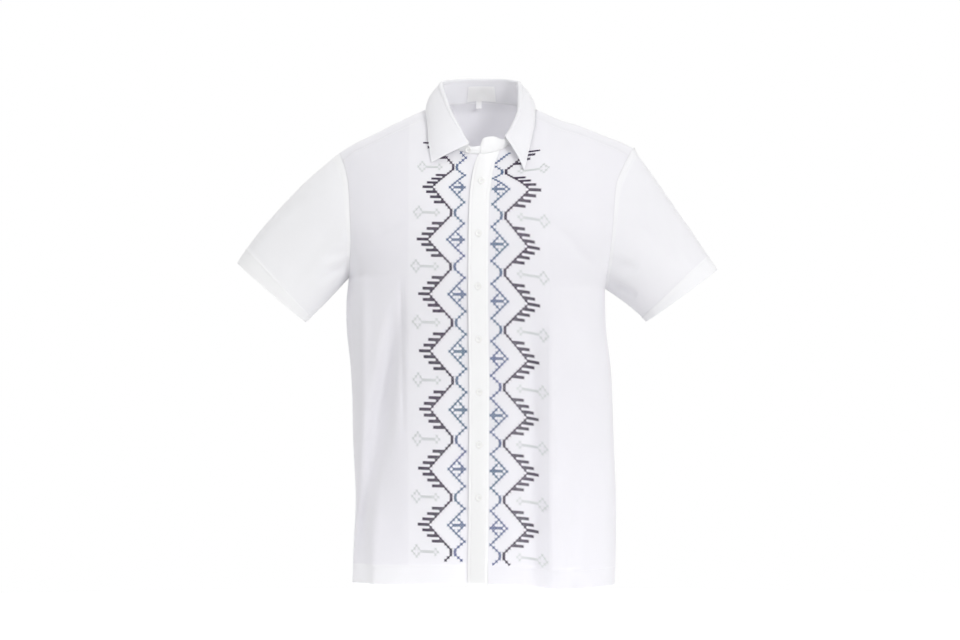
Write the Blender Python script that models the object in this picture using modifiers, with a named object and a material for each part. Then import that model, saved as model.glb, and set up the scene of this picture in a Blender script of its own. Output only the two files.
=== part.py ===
# Short-sleeved button-up shirt, filled out as if worn, at its real size.
# Metres, +Z up, and the front faces -Y. The origin is on the centre plane, level with
# the neck ends of the shoulders. "right" and "left" are the wearer's, so the right side
# is at -X.

import math
from collections import namedtuple

import bmesh
import bpy
from mathutils import Vector

# Cloth
WALL = 0.0012
COLLAR_WALL = 0.0014
PLACKET_WALL = 0.0016
SEAM_TRIM = 0.0003
HEAD_TRIM = 0.0012
UNDERARM_TRIM = 0.0018
STAND_TRIM = 0.0015

# Body sections: half widths, and depths before and behind the side seams
Edge = namedtuple("Edge", "z right left")
EDGES = (
    Edge(-0.760, 0.2030, 0.2160),
    Edge(-0.690, 0.2005, 0.2176),
    Edge(-0.620, 0.1975, 0.2176),
    Edge(-0.526, 0.2016, 0.2140),
    Edge(-0.460, 0.2030, 0.2118),
    Edge(-0.410, 0.2056, 0.2090),
    Edge(-0.350, 0.2118, 0.2018),
    Edge(-0.305, 0.2120, 0.2002),
    Edge(-0.285, 0.2102, 0.2000),
    Edge(-0.267, 0.2080, 0.2015),
    Edge(-0.215, 0.2035, 0.2075),
    Edge(-0.165, 0.2048, 0.2120),
    Edge(-0.120, 0.2080, 0.2168),
    Edge(-0.095, 0.2135, 0.2270),
    Edge(-0.0695, 0.2240, 0.2405),
    Edge(-0.0615, 0.2285, 0.2455),
)
Depth = namedtuple("Depth", "z front back")
DEPTHS = (
    Depth(-0.760, 0.132, 0.122),
    Depth(-0.520, 0.130, 0.116),
    Depth(-0.380, 0.134, 0.118),
    Depth(-0.285, 0.138, 0.124),
    Depth(-0.200, 0.138, 0.128),
    Depth(-0.050, 0.135, 0.126),
)
SIDE_POWER = 2.4
SIDE_FADE = 0.6
CHEST_Z = -0.285

# Shoulder line seen from the front, by distance from the centre plane
Shoulder = namedtuple("Shoulder", "x right left")
SHOULDERS = (
    Shoulder(0.000, 0.0160, 0.0160),
    Shoulder(0.074, 0.0040, 0.0060),
    Shoulder(0.130, -0.0200, -0.0170),
    Shoulder(0.160, -0.0350, -0.0260),
    Shoulder(0.200, -0.0545, -0.0420),
    Shoulder(0.225, -0.0700, -0.0515),
    Shoulder(0.250, -0.0850, -0.0640),
)
BACK_NECK_RISE = 0.024
FRONT_POWER = 2.0
CHEST_SLOPE = 0.55
CHEST_SLOPE_X = 0.150
BACK_POWER = 2.5

# Armholes and sleeves
ARMPIT_Z = {-1: -0.267, 1: -0.285}
SHOULDER_POINT_Z = {-1: -0.0695, 1: -0.0615}
ARMHOLE_REACH = 0.64
ARMHOLE_ROUND = 0.100
Cuff = namedtuple("Cuff", "outer_x outer_z lower_x lower_z")
CUFFS = {
    -1: Cuff(0.387, -0.245, 0.278, -0.339),
    1: Cuff(0.380, -0.256, 0.267, -0.338),
}
CUFF_HALF_DEPTH = 0.062
Puff = namedtuple("Puff", "top side under")
PUFFS = {
    -1: Puff(0.010, 0.005, 0.001),
    1: Puff(0.001, 0.005, -0.003),
}

# Neckline and seams
NECK_X = 0.074
NECK_FRONT_Z = -0.073
NECK_POWER = 2.0
SHOULDER_SEAM_DROP = 0.013
YOKE_SEAM_Z = -0.092
BACK_NECK_TURN = math.radians(24)
SEAM_SHARE = 0.5
RIDGE_SHARE = 0.74
EDGE_STEPS = 6

# Hem, side vents and the front edges
Hem = namedtuple("Hem", "x front")
HEMS = (
    Hem(-0.205, -0.7550),
    Hem(-0.130, -0.7515),
    Hem(-0.020, -0.7490),
    Hem(0.060, -0.7510),
    Hem(0.115, -0.7580),
    Hem(0.165, -0.7570),
    Hem(0.218, -0.7560),
)
BACK_HEM_Z = -0.7555
VENT_HEIGHT = 0.048
VENT_GAP = 0.0025
PLACKET_WIDTH = 0.0312
PLACKET_HANG = 0.0055
PlacketEdge = namedtuple("PlacketEdge", "z left")
PLACKET_EDGES = (
    PlacketEdge(-0.760, -0.0184),
    PlacketEdge(-0.460, -0.0160),
    PlacketEdge(-0.300, -0.0176),
    PlacketEdge(-0.150, -0.0168),
    PlacketEdge(-0.104, -0.0130),
    PlacketEdge(-0.080, -0.0068),
    PlacketEdge(-0.060, -0.0010),
)
TUCK = 0.0026
TUCK_X = -0.045
TUCK_SPAN = 0.023
RIGHT_FRONT_REACH = 0.008

# Largest folds: a soft trough or ridge between two points of the front view
FOLD_GROWTH = 0.7
Fold = namedtuple("Fold", "face x_top z_top x_low z_low width depth")
FOLDS = (
    Fold(-1, -0.124, -0.340, -0.184, -0.790, 0.017, 0.013),
    Fold(-1, -0.150, -0.360, -0.205, -0.760, 0.014, -0.006),
    Fold(-1, 0.100, -0.300, 0.104, -0.800, 0.013, 0.009),
    Fold(-1, 0.128, -0.420, 0.128, -0.800, 0.016, -0.005),
    Fold(1, -0.105, -0.200, -0.120, -0.800, 0.022, 0.010),
    Fold(1, 0.095, -0.180, 0.115, -0.800, 0.022, 0.011),
    Fold(1, 0.010, -0.420, 0.005, -0.800, 0.026, 0.006),
)

# Collar: stations round the neck, from the wearer's right front (-1) by the centre back
# (0) to the left front (1). The roll line tops the stand, and the edge ends the fall.
Station = namedtuple("Station", "share roll_x roll_y roll_z edge_x edge_y edge_z")
STATIONS = (
    Station(-0.89, -0.0168, -0.0880, -0.0550, -0.0766, -0.1010, -0.0845),
    Station(-0.78, -0.0310, -0.0770, -0.0310, -0.0800, -0.0880, -0.0560),
    Station(-0.65, -0.0440, -0.0590, -0.0060, -0.0820, -0.0660, -0.0280),
    Station(-0.50, -0.0540, -0.0300, 0.0220, -0.0850, -0.0360, -0.0040),
    Station(-0.37, -0.0590, 0.0010, 0.0400, -0.0840, 0.0050, 0.0060),
    Station(-0.26, -0.0560, 0.0300, 0.0490, -0.0740, 0.0430, 0.0060),
    Station(-0.14, -0.0360, 0.0540, 0.0550, -0.0470, 0.0700, 0.0060),
    Station(0.00, 0.0000, 0.0630, 0.0565, 0.0000, 0.0810, 0.0070),
    Station(0.14, 0.0360, 0.0540, 0.0555, 0.0470, 0.0700, 0.0070),
    Station(0.26, 0.0575, 0.0300, 0.0510, 0.0750, 0.0430, 0.0070),
    Station(0.37, 0.0615, 0.0020, 0.0430, 0.0870, 0.0050, 0.0070),
    Station(0.50, 0.0616, -0.0290, 0.0200, 0.0880, -0.0380, -0.0040),
    Station(0.60, 0.0600, -0.0540, -0.0040, 0.0860, -0.0680, -0.0300),
    Station(0.70, 0.0525, -0.0730, -0.0220, 0.0790, -0.0920, -0.0620),
    Station(0.79, 0.0390, -0.0880, -0.0440, 0.0720, -0.1070, -0.0960),
)
STAND_ENDS = (-1.0, 0.975)
STAND_END_ROUND = 0.05
STAND_END_DROP = 0.016
STAND_END_LIFT = 0.3
ROLL_CLEAR = 0.0030
NECK_CENTRE_Y = -0.010
FALL_CROWN = 0.004
FOLD_PROFILE = ((0.0, -0.0012), (0.0009, 0.0022), (0.0040, 0.0021), (0.0062, -0.0012))
LABEL_SHARES = (-0.065, 0.088)
LABEL_RISE = (0.10, 0.80)
TAB_SHARES = (-0.018, 0.011)
TAB_DROP = 0.0125
LABEL_WALL = 0.0010
LABEL_CLEAR = 0.0022

# Buttons
BUTTON_RADIUS = 0.0052
BUTTON_THICK = 0.0022
BUTTON_SIDES = 14
BUTTON_ROUND = 0.0005
BUTTON_SEAT = 0.0003
BUTTON_SPAN = 0.004
BUTTON_TOP_Z = -0.118
BUTTON_SPACING = 0.0826
BUTTON_COUNT = 7
NECK_BUTTON_SHARE = -0.915

# Mesh density
BODY_ROWS = 13
CHEST_ROWS = 8
NECK_COLUMNS = 7
SHOULDER_COLUMNS = 8
BACK_COLUMNS = 20
YOKE_COLUMNS = 28
SLEEVE_COLUMNS = 28
SLEEVE_ROWS = 8
STAND_COLUMNS = 40
FALL_COLUMNS = 34
FALL_ROWS = 7

# Colours
LINEN = (0.90, 0.89, 0.91, 1.0)
DOUBLED_LINEN = (0.95, 0.95, 0.96, 1.0)
LABEL_WHITE = (0.86, 0.86, 0.85, 1.0)
BUTTON_WHITE = (0.88, 0.88, 0.87, 1.0)


def clamp(value, low=0.0, high=1.0):
    return max(low, min(high, value))


def mix(a, b, share):
    return a + (b - a) * share


def smooth(value):
    t = clamp(value)
    return t * t * (3.0 - 2.0 * t)


def read(table, column, key):
    """A smooth curve through one named column of a table, by its first column."""
    keys = [row[0] for row in table]
    values = [getattr(row, column) for row in table]
    if key <= keys[0]:
        return values[0]
    if key >= keys[-1]:
        return values[-1]
    i = next(n for n in range(len(keys) - 1) if key <= keys[n + 1])

    def slope(n):
        before = max(n - 1, 0)
        after = min(n + 1, len(keys) - 1)
        return (values[after] - values[before]) / (keys[after] - keys[before])

    span = keys[i + 1] - keys[i]
    t = (key - keys[i]) / span
    return (
        (2 * t**3 - 3 * t**2 + 1) * values[i]
        + (t**3 - 2 * t**2 + t) * span * slope(i)
        + (3 * t**2 - 2 * t**3) * values[i + 1]
        + (t**3 - t**2) * span * slope(i + 1)
    )


def side_name(side):
    return "left" if side > 0 else "right"


# The body's surface


def edge_x(side, z):
    """Half width at a side seam or at an armhole's edge."""
    return read(EDGES, side_name(side), min(z, SHOULDER_POINT_Z[side]))


def shoulder_z(side, face, x):
    """Height of the surface's top line at a distance from the centre plane."""
    top = read(SHOULDERS, side_name(side), x)
    if face > 0 and x < NECK_X:
        top += BACK_NECK_RISE * (1.0 - (x / NECK_X) ** 2)
    return top


def armhole_share(side, z):
    """How far round the section the armhole's edge stands, as a share of its depth."""
    rise = clamp((z - ARMPIT_Z[side]) / ARMHOLE_ROUND)
    return ARMHOLE_REACH * math.sqrt(1.0 - (1.0 - rise) ** 2)


def cut_share(side, z):
    """Share of the section's full half width at which the armhole cuts it."""
    return (1.0 - armhole_share(side, z) ** SIDE_POWER) ** (1.0 / SIDE_POWER)


def slope_powers(face, x):
    if face > 0:
        return BACK_POWER, BACK_POWER
    near_neck = 1.0 - smooth(x / CHEST_SLOPE_X)
    return FRONT_POWER, FRONT_POWER - CHEST_SLOPE * near_neck


def fold_depth(face, x, z):
    """How far the folds press the surface in at a place of the front view."""
    total = 0.0
    for fold in FOLDS:
        if fold.face != face:
            continue
        along = clamp((z - fold.z_top) / (fold.z_low - fold.z_top))
        across = (x - mix(fold.x_top, fold.x_low, along)) / fold.width
        total += fold.depth * smooth(along / FOLD_GROWTH) * math.exp(-across * across)
    return total


def tuck(x):
    """How far the right front steps back to pass under the placket."""
    return TUCK * smooth((x - TUCK_X) / TUCK_SPAN)


def body_y(side, face, x, z):
    """The surface's y at a distance x >= 0 from the centre plane and a height."""
    full = edge_x(side, z) / cut_share(side, z)
    round_side = (1.0 - clamp(x / full) ** SIDE_POWER) ** (1.0 / SIDE_POWER)
    top = shoulder_z(side, face, x)
    rise = clamp((z - CHEST_Z) / (top - CHEST_Z))
    rise_power, depth_power = slope_powers(face, x)
    taper = (1.0 - rise**rise_power) ** (1.0 / depth_power)
    reach = read(DEPTHS, "back" if face > 0 else "front", z) * round_side * taper
    side_fade = smooth(round_side / SIDE_FADE)
    return face * (reach - fold_depth(face, side * x, z) * side_fade)


def body_point(side, x, turn):
    """A point above the chest line: turn is 0 on the shoulder line, pi/2 at the chest
    behind and -pi/2 before it."""
    face = 1 if turn > 0 else -1
    top = shoulder_z(side, face, x)
    power = slope_powers(face, x)[0]
    z = CHEST_Z + (top - CHEST_Z) * math.cos(turn) ** (2.0 / power)
    return Vector((side * x, body_y(side, face, x, z), z))


def turn_at(side, face, x, z):
    """The turn over the shoulder that brings the surface to a height."""
    top = shoulder_z(side, face, x)
    power = slope_powers(face, x)[0]
    rise = clamp((z - CHEST_Z) / (top - CHEST_Z))
    return face * math.acos(rise ** (power / 2.0))


def armhole_point(side, turn):
    """A point of the armhole: turn is 0 at the armpit, 0.25 before, 0.5 on top."""
    low = ARMPIT_Z[side]
    z = low + (SHOULDER_POINT_Z[side] - low) * (1.0 - math.cos(2 * math.pi * turn)) / 2
    face = -1 if turn < 0.5 else 1
    x = edge_x(side, z)
    return Vector((side * x, body_y(side, face, x, z), z))


# The neckline


def neck_depth_z(side, x):
    """Height of the front neckline at a distance from the centre plane."""
    high = shoulder_z(side, -1, NECK_X) - SHOULDER_SEAM_DROP
    share = (1.0 - clamp(abs(x) / NECK_X) ** NECK_POWER) ** (1.0 / NECK_POWER)
    return mix(high, NECK_FRONT_Z, share)


def back_neck(side, place):
    """x and turn of the neck seam: place is 0 at the centre back, 1 at the front seam."""
    if place < RIDGE_SHARE:
        angle = place / RIDGE_SHARE * math.pi / 2
        x = NECK_X * math.sin(angle) ** (2.0 / NECK_POWER)
        return x, BACK_NECK_TURN * math.cos(angle) ** (2.0 / NECK_POWER)
    front_turn = turn_at(side, -1, NECK_X, neck_depth_z(side, NECK_X))
    return NECK_X, front_turn * (place - RIDGE_SHARE) / (1.0 - RIDGE_SHARE)


def neckline(share):
    """A point of the neck seam by its share of the way round, as in STATIONS."""
    side = 1 if share > 0 else -1
    if abs(share) >= SEAM_SHARE:
        angle = (1.0 - abs(share)) / (1.0 - SEAM_SHARE) * math.pi / 2
        x = NECK_X * math.sin(angle)
        z = neck_depth_z(side, x)
        y = body_y(side, -1, abs(x), z)
        if side < 0:
            y += tuck(-x)
        return Vector((side * x, y, z))
    return body_point(side, *back_neck(side, abs(share) / SEAM_SHARE))


# Meshes


def material(name, colour, roughness):
    made = bpy.data.materials.new(name)
    made.use_nodes = True
    shader = made.node_tree.nodes["Principled BSDF"]
    shader.inputs["Base Color"].default_value = colour
    shader.inputs["Roughness"].default_value = roughness
    shader.inputs["Metallic"].default_value = 0.0
    return made


def add_object(name, mesh, colour, roughness):
    mesh.materials.append(material(name + "_cloth", colour, roughness))
    made = bpy.data.objects.new(name, mesh)
    bpy.data.collections["shirt"].objects.link(made)
    return made


def trim_edges(bm, trims):
    """Draws the open edges in, so that neighbours meet with a gap. trims gives each
    border vertex its own distance where it has one."""
    moves = []
    for vert in bm.verts:
        if not vert.is_boundary:
            continue
        inner = [e.other_vert(vert).co for e in vert.link_edges if not e.is_boundary]
        corner = [e.other_vert(vert).co for e in vert.link_edges if not inner]
        way = sum(((co - vert.co).normalized() for co in inner + corner), Vector())
        if inner:
            way.normalize()
        moves.append((vert, way * trims.get(vert, SEAM_TRIM)))
    for vert, move in moves:
        vert.co += move


def cloth(name, columns, rows, point, wall=WALL, colour=LINEN, tube=False, trim=None):
    """A cloth piece: a grid whose corners are 0..1 by 0..1, shaped by point(u, v), with
    its wall. trim(u, v) gives a border vertex its own trim."""
    bm = bmesh.new()
    bmesh.ops.create_grid(bm, x_segments=columns, y_segments=rows, size=0.5)
    trims = {}
    for vert in bm.verts:
        u = clamp(vert.co.x + 0.5)
        v = clamp(vert.co.y + 0.5)
        vert.co = point(u, v)
        if trim:
            trims[vert] = trim(u, v)
    if tube:
        bmesh.ops.remove_doubles(bm, verts=bm.verts[:], dist=1e-6)
        trims = {vert: size for vert, size in trims.items() if vert.is_valid}
    trim_edges(bm, trims)
    bmesh.ops.recalc_face_normals(bm, faces=bm.faces[:])
    mesh = bpy.data.meshes.new(name)
    bm.to_mesh(mesh)
    bm.free()
    mesh.shade_smooth()
    made = add_object(name, mesh, colour, 0.85)
    solidify = made.modifiers.new("Wall", "SOLIDIFY")
    solidify.thickness = wall
    solidify.offset = 0.0
    solidify.use_even_offset = True
    return made


# Fronts


def hem_z(x):
    return read(HEMS, "front", x)


def placket_left(z):
    return read(PLACKET_EDGES, "left", z)


def vent(z, hem):
    """Half the side vent's opening at a height."""
    return VENT_GAP * smooth((hem + VENT_HEIGHT - z) / VENT_HEIGHT)


def front_column(side, index, start):
    """Share of the half width for a column, with one column on the neck point."""
    top_x = edge_x(side, SHOULDER_POINT_Z[side])
    if index <= NECK_COLUMNS:
        x = mix(start, NECK_X, math.sin(index / NECK_COLUMNS * math.pi / 2))
    else:
        x = mix(NECK_X, top_x, (index - NECK_COLUMNS) / SHOULDER_COLUMNS)
    reach = math.asin(cut_share(side, SHOULDER_POINT_Z[side]))
    return math.asin((x - start) / (top_x - start) * math.sin(reach)) / reach, x


def front_start(side, z):
    """Where a front panel begins, as a distance towards its own side."""
    if side > 0:
        return placket_left(z) + PLACKET_WIDTH
    return -RIGHT_FRONT_REACH


def front_top(side, x):
    if x < NECK_X:
        return neck_depth_z(side, x)
    return shoulder_z(side, -1, x) - SHOULDER_SEAM_DROP


def front_point(side):
    columns = NECK_COLUMNS + SHOULDER_COLUMNS
    rows = BODY_ROWS + CHEST_ROWS

    def point(u, v):
        column, top_x = front_column(side, round(u * columns), front_start(side, 0.0))
        row = round(v * rows)
        armpit = ARMPIT_Z[side]
        if row <= BODY_ROWS:
            low = hem_z(side * edge_x(side, armpit) * u)
            z = mix(low, armpit, row / BODY_ROWS)
        else:
            z = mix(armpit, front_top(side, top_x), (row - BODY_ROWS) / CHEST_ROWS)
        width = edge_x(side, z)
        reach = math.asin(cut_share(side, z))
        start = front_start(side, z)
        x = mix(start, width, math.sin(column * reach) / math.sin(reach))
        y = body_y(side, -1, abs(x), z)
        if side < 0:
            y += tuck(-x)
        if u == 1.0:
            y -= vent(z, hem_z(side * x))
        return Vector((side * x, y, z))

    return point


def make_fronts():
    for side in (-1, 1):
        cloth(
            "front_" + side_name(side),
            NECK_COLUMNS + SHOULDER_COLUMNS,
            BODY_ROWS + CHEST_ROWS,
            front_point(side),
        )


def placket_point(across, z):
    x = placket_left(z) + PLACKET_WIDTH * across
    return Vector((x, body_y(1, -1, abs(x), z), z))


def make_placket():
    low = hem_z(0.0) - PLACKET_HANG

    def point(u, v):
        top = neck_depth_z(1, placket_left(NECK_FRONT_Z) + PLACKET_WIDTH * u)
        return placket_point(u, mix(low, top, v))

    rows = BODY_ROWS + CHEST_ROWS
    cloth("placket", 3, rows, point, PLACKET_WALL, DOUBLED_LINEN)


# Back and yoke


def make_back():
    rows = BODY_ROWS + CHEST_ROWS

    def point(u, v):
        side = 1 if u > 0.5 else -1
        column = abs(2 * u - 1)
        armpit = mix(ARMPIT_Z[-1], ARMPIT_Z[1], u)
        row = round(v * rows)
        if row <= BODY_ROWS:
            z = mix(BACK_HEM_Z, armpit, row / BODY_ROWS)
        else:
            z = mix(armpit, YOKE_SEAM_Z, (row - BODY_ROWS) / CHEST_ROWS)
        reach = math.asin(cut_share(side, z))
        x = edge_x(side, z) * math.sin(column * reach) / math.sin(reach)
        y = body_y(side, 1, x, z)
        if column == 1.0:
            y += vent(z, BACK_HEM_Z)
        return Vector((side * x, y, z))

    cloth("back", BACK_COLUMNS, rows, point)


def yoke_outer(share):
    """x and turn of the yoke's outer edge: the armhole, then the seam across the back."""
    side = 1 if share > 0 else -1
    place = abs(share)
    corner_x = edge_x(side, YOKE_SEAM_Z)
    if place < SEAM_SHARE:
        x = corner_x * place / SEAM_SHARE
        return x, turn_at(side, 1, x, YOKE_SEAM_Z)
    back_turn = turn_at(side, 1, corner_x, YOKE_SEAM_Z)
    top_x = edge_x(side, SHOULDER_POINT_Z[side])
    front_turn = turn_at(side, -1, top_x, front_top(side, top_x))
    turn = mix(back_turn, front_turn, (place - SEAM_SHARE) / (1.0 - SEAM_SHARE))
    x = top_x
    for _ in range(EDGE_STEPS):
        x = edge_x(side, body_point(side, x, turn).z)
    return x, turn


def make_yoke():
    def point(u, v):
        share = 2 * u - 1
        side = 1 if share > 0 else -1
        if abs(share) == 1.0:
            columns = NECK_COLUMNS + SHOULDER_COLUMNS
            return front_point(side)((NECK_COLUMNS + v * SHOULDER_COLUMNS) / columns, 1.0)
        inner_x, inner_turn = back_neck(side, abs(share))
        outer_x, outer_turn = yoke_outer(share)
        return body_point(side, mix(inner_x, outer_x, v), mix(inner_turn, outer_turn, v))

    cloth("yoke", YOKE_COLUMNS, SHOULDER_COLUMNS, point)


# Sleeves


def sleeve_point(side):
    cuff = CUFFS[side]
    puff = PUFFS[side]
    centre = Vector(
        (
            side * (cuff.outer_x + cuff.lower_x) / 2,
            0.0,
            (cuff.outer_z + cuff.lower_z) / 2,
        )
    )
    up = Vector((side * cuff.outer_x, 0.0, cuff.outer_z)) - centre
    start = (armhole_point(side, 0.0) + armhole_point(side, 0.5)) / 2
    axis = (centre - start).normalized()

    def point(u, v):
        angle = 2 * math.pi * u
        ring = up * -math.cos(angle) + Vector((0.0, -CUFF_HALF_DEPTH, 0.0)) * math.sin(angle)
        head = armhole_point(side, u)
        out = (head - start) - axis * (head - start).dot(axis)
        rise = (1.0 - math.cos(angle)) / 2
        bulge = mix(puff.under, puff.top, rise) * math.cos(angle) ** 2
        bulge += puff.side * math.sin(angle) ** 2
        place = head.lerp(centre + ring, v)
        return place + out.normalized() * bulge * 4 * v * (1 - v)

    return point


def make_sleeves():
    def trim(u, v):
        if v > 0.5:
            return SEAM_TRIM
        return HEAD_TRIM + UNDERARM_TRIM * smooth(1.0 - 4 * min(u, 1 - u))

    for side in (-1, 1):
        name = "sleeve_" + side_name(side)
        cloth(name, SLEEVE_COLUMNS, SLEEVE_ROWS, sleeve_point(side), tube=True, trim=trim)


# Collar


def station(share):
    """The collar's lines at a share of the way round the neck."""
    return Station(share, *(read(STATIONS, name, share) for name in Station._fields[1:]))


def roll_point(share):
    at = station(share)
    place = Vector((at.roll_x, at.roll_y, at.roll_z))
    first = STATIONS[0]
    last = STATIONS[-1]
    if first.share <= share <= last.share:
        return place
    way = neckline(share) - neckline(clamp(share, first.share, last.share))
    return place + way - Vector((0.0, 0.0, STAND_END_LIFT * way.z))


def outward(place):
    way = Vector((place.x, place.y - NECK_CENTRE_Y, 0.0))
    return way.normalized()


def stand_point(share, rise):
    """A point of the stand: rise is 0 at the neck seam and 1 just under the roll."""
    low = neckline(share)
    high = roll_point(share) - Vector((0.0, 0.0, ROLL_CLEAR))
    ends = max(STAND_ENDS[0] + STAND_END_ROUND - share, share - STAND_ENDS[1] + STAND_END_ROUND)
    fall = STAND_END_DROP * smooth(ends / STAND_END_ROUND)
    high += (low - high).normalized() * fall
    return low.lerp(high, rise)


def make_stand():
    def point(u, v):
        return stand_point(mix(STAND_ENDS[0], STAND_ENDS[1], u), v)

    def trim(u, v):
        return STAND_TRIM if v < 0.5 else SEAM_TRIM

    cloth("collar_stand", STAND_COLUMNS, 3, point, COLLAR_WALL, DOUBLED_LINEN, trim=trim)


def make_fall():
    turned = len(FOLD_PROFILE) - 1

    def point(u, v):
        share = mix(STATIONS[0].share, STATIONS[-1].share, u)
        at = station(share)
        roll = Vector((at.roll_x, at.roll_y, at.roll_z))
        edge = Vector((at.edge_x, at.edge_y, at.edge_z))
        out = outward(roll)
        row = round(v * FALL_ROWS)
        if row <= turned:
            step, rise = FOLD_PROFILE[row]
            return roll + out * step + Vector((0.0, 0.0, rise))
        step, rise = FOLD_PROFILE[turned]
        start = roll + out * step + Vector((0.0, 0.0, rise))
        along = (row - turned) / (FALL_ROWS - turned)
        crown = FALL_CROWN * 4 * along * (1 - along)
        return start.lerp(edge, along) + out * crown

    cloth("collar_fall", FALL_COLUMNS, FALL_ROWS, point, COLLAR_WALL, DOUBLED_LINEN)


def inside_stand(share, rise):
    place = stand_point(share, rise)
    return place - outward(place) * LABEL_CLEAR


def make_labels():
    def label(u, v):
        return inside_stand(mix(*LABEL_SHARES, u), mix(*LABEL_RISE, v))

    def tab(u, v):
        place = inside_stand(mix(*TAB_SHARES, u), LABEL_RISE[0])
        return place - Vector((0.0, 0.0, SEAM_TRIM + TAB_DROP * (1 - v)))

    cloth("label", 5, 2, label, LABEL_WALL, LABEL_WHITE)
    cloth("size_tab", 1, 2, tab, LABEL_WALL, LABEL_WHITE)


# Buttons


def make_button(name, place, facing):
    bm = bmesh.new()
    bmesh.ops.create_cone(
        bm,
        cap_ends=True,
        segments=BUTTON_SIDES,
        radius1=BUTTON_RADIUS,
        radius2=BUTTON_RADIUS,
        depth=BUTTON_THICK,
    )
    mesh = bpy.data.meshes.new(name)
    bm.to_mesh(mesh)
    bm.free()
    made = add_object(name, mesh, BUTTON_WHITE, 0.35)
    made.location = place
    made.rotation_mode = "QUATERNION"
    made.rotation_quaternion = facing.to_track_quat("Z", "Y")
    rounded = made.modifiers.new("Rounded rim", "BEVEL")
    rounded.width = BUTTON_ROUND
    rounded.segments = 1
    rounded.limit_method = "ANGLE"


def seat_button(name, centre, along, across, wall):
    """A button that faces forward on the cloth that along and across lie in."""
    facing = along.cross(across).normalized()
    if facing.y > 0:
        facing = -facing
    lift = wall / 2 + BUTTON_SEAT + BUTTON_THICK / 2
    make_button(name, centre + facing * lift, facing)


def make_buttons():
    for index in range(BUTTON_COUNT):
        z = BUTTON_TOP_Z - index * BUTTON_SPACING
        along = placket_point(0.5, z + BUTTON_SPAN) - placket_point(0.5, z - BUTTON_SPAN)
        across = placket_point(1.0, z) - placket_point(0.0, z)
        name = "button_" + str(index + 1)
        seat_button(name, placket_point(0.5, z), along, across, PLACKET_WALL)
    share = NECK_BUTTON_SHARE
    centre = stand_point(share, 0.5)
    along = stand_point(share, 1.0) - stand_point(share, 0.0)
    across = stand_point(share + BUTTON_SPAN, 0.5) - centre
    seat_button("button_neck", centre, along, across, COLLAR_WALL)


def main():
    for old in list(bpy.data.objects):
        bpy.data.objects.remove(old)
    shirt = bpy.data.collections.new("shirt")
    bpy.context.scene.collection.children.link(shirt)
    make_fronts()
    make_placket()
    make_back()
    make_yoke()
    make_sleeves()
    make_stand()
    make_fall()
    make_labels()
    make_buttons()


main()
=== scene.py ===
import math
import random
from bisect import bisect_left
from collections import namedtuple

import bmesh
import bpy
import numpy as np
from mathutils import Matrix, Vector, noise


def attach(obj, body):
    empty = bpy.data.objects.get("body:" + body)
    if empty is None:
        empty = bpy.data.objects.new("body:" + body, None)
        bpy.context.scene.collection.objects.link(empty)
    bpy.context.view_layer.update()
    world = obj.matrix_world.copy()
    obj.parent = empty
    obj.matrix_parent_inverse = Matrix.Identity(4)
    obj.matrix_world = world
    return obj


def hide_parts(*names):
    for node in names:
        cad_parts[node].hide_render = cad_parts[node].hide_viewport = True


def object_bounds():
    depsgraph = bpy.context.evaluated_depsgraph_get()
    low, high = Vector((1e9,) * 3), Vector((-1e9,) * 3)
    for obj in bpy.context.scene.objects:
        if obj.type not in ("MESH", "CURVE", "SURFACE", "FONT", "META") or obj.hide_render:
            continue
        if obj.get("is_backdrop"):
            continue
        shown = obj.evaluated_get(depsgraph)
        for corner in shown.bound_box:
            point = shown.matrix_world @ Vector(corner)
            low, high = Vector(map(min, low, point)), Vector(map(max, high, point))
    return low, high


# A short-sleeved linen shirt with a cross-stitched border, filled out with nobody in it.
# Metres, front at -Y. "right" and "left" are the wearer's, so right is at -X.

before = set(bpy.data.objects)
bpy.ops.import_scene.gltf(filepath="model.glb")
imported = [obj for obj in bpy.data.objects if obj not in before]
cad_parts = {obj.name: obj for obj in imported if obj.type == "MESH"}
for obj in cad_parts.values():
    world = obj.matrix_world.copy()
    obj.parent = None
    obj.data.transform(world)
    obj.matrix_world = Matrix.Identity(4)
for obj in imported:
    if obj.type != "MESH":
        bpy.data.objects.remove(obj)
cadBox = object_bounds()
print("frame loaded")


def clamp(value, low=0.0, high=1.0):
    return max(low, min(high, value))


def mix(a, b, share):
    return a + (b - a) * share


def smooth(value):
    t = clamp(value)
    return t * t * (3.0 - 2.0 * t)


def curve(rows, column):
    # a smooth curve through one named column of a table, read by its first column
    keys = [row[0] for row in rows]
    values = [getattr(row, column) for row in rows]
    slopes = []
    for n in range(len(keys)):
        before = max(n - 1, 0)
        after = min(n + 1, len(keys) - 1)
        slopes.append((values[after] - values[before]) / (keys[after] - keys[before]))

    def read(key):
        if key <= keys[0]:
            return values[0]
        if key >= keys[-1]:
            return values[-1]
        i = bisect_left(keys, key) - 1
        span = keys[i + 1] - keys[i]
        t = (key - keys[i]) / span
        return (
            (2 * t**3 - 3 * t**2 + 1) * values[i]
            + (t**3 - 2 * t**2 + t) * span * slopes[i]
            + (3 * t**2 - 2 * t**3) * values[i + 1]
            + (t**3 - t**2) * span * slopes[i + 1]
        )

    return read


def sideName(side):
    return "left" if side > 0 else "right"


def takeMesh(bm, name):
    mesh = bpy.data.meshes.new(name)
    bm.to_mesh(mesh)
    bm.free()
    return mesh


def link(name, data):
    made = bpy.data.objects.new(name, data)
    bpy.context.scene.collection.objects.link(made)
    return made


def closeUp(bm):
    # joins the points that meet at seams and poles
    bmesh.ops.remove_doubles(bm, verts=bm.verts[:], dist=1e-6)


def frontward(a, b):
    # the unit normal of two directions, turned to face -Y
    way = a.cross(b).normalized()
    return -way if way.y > 0 else way


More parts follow.
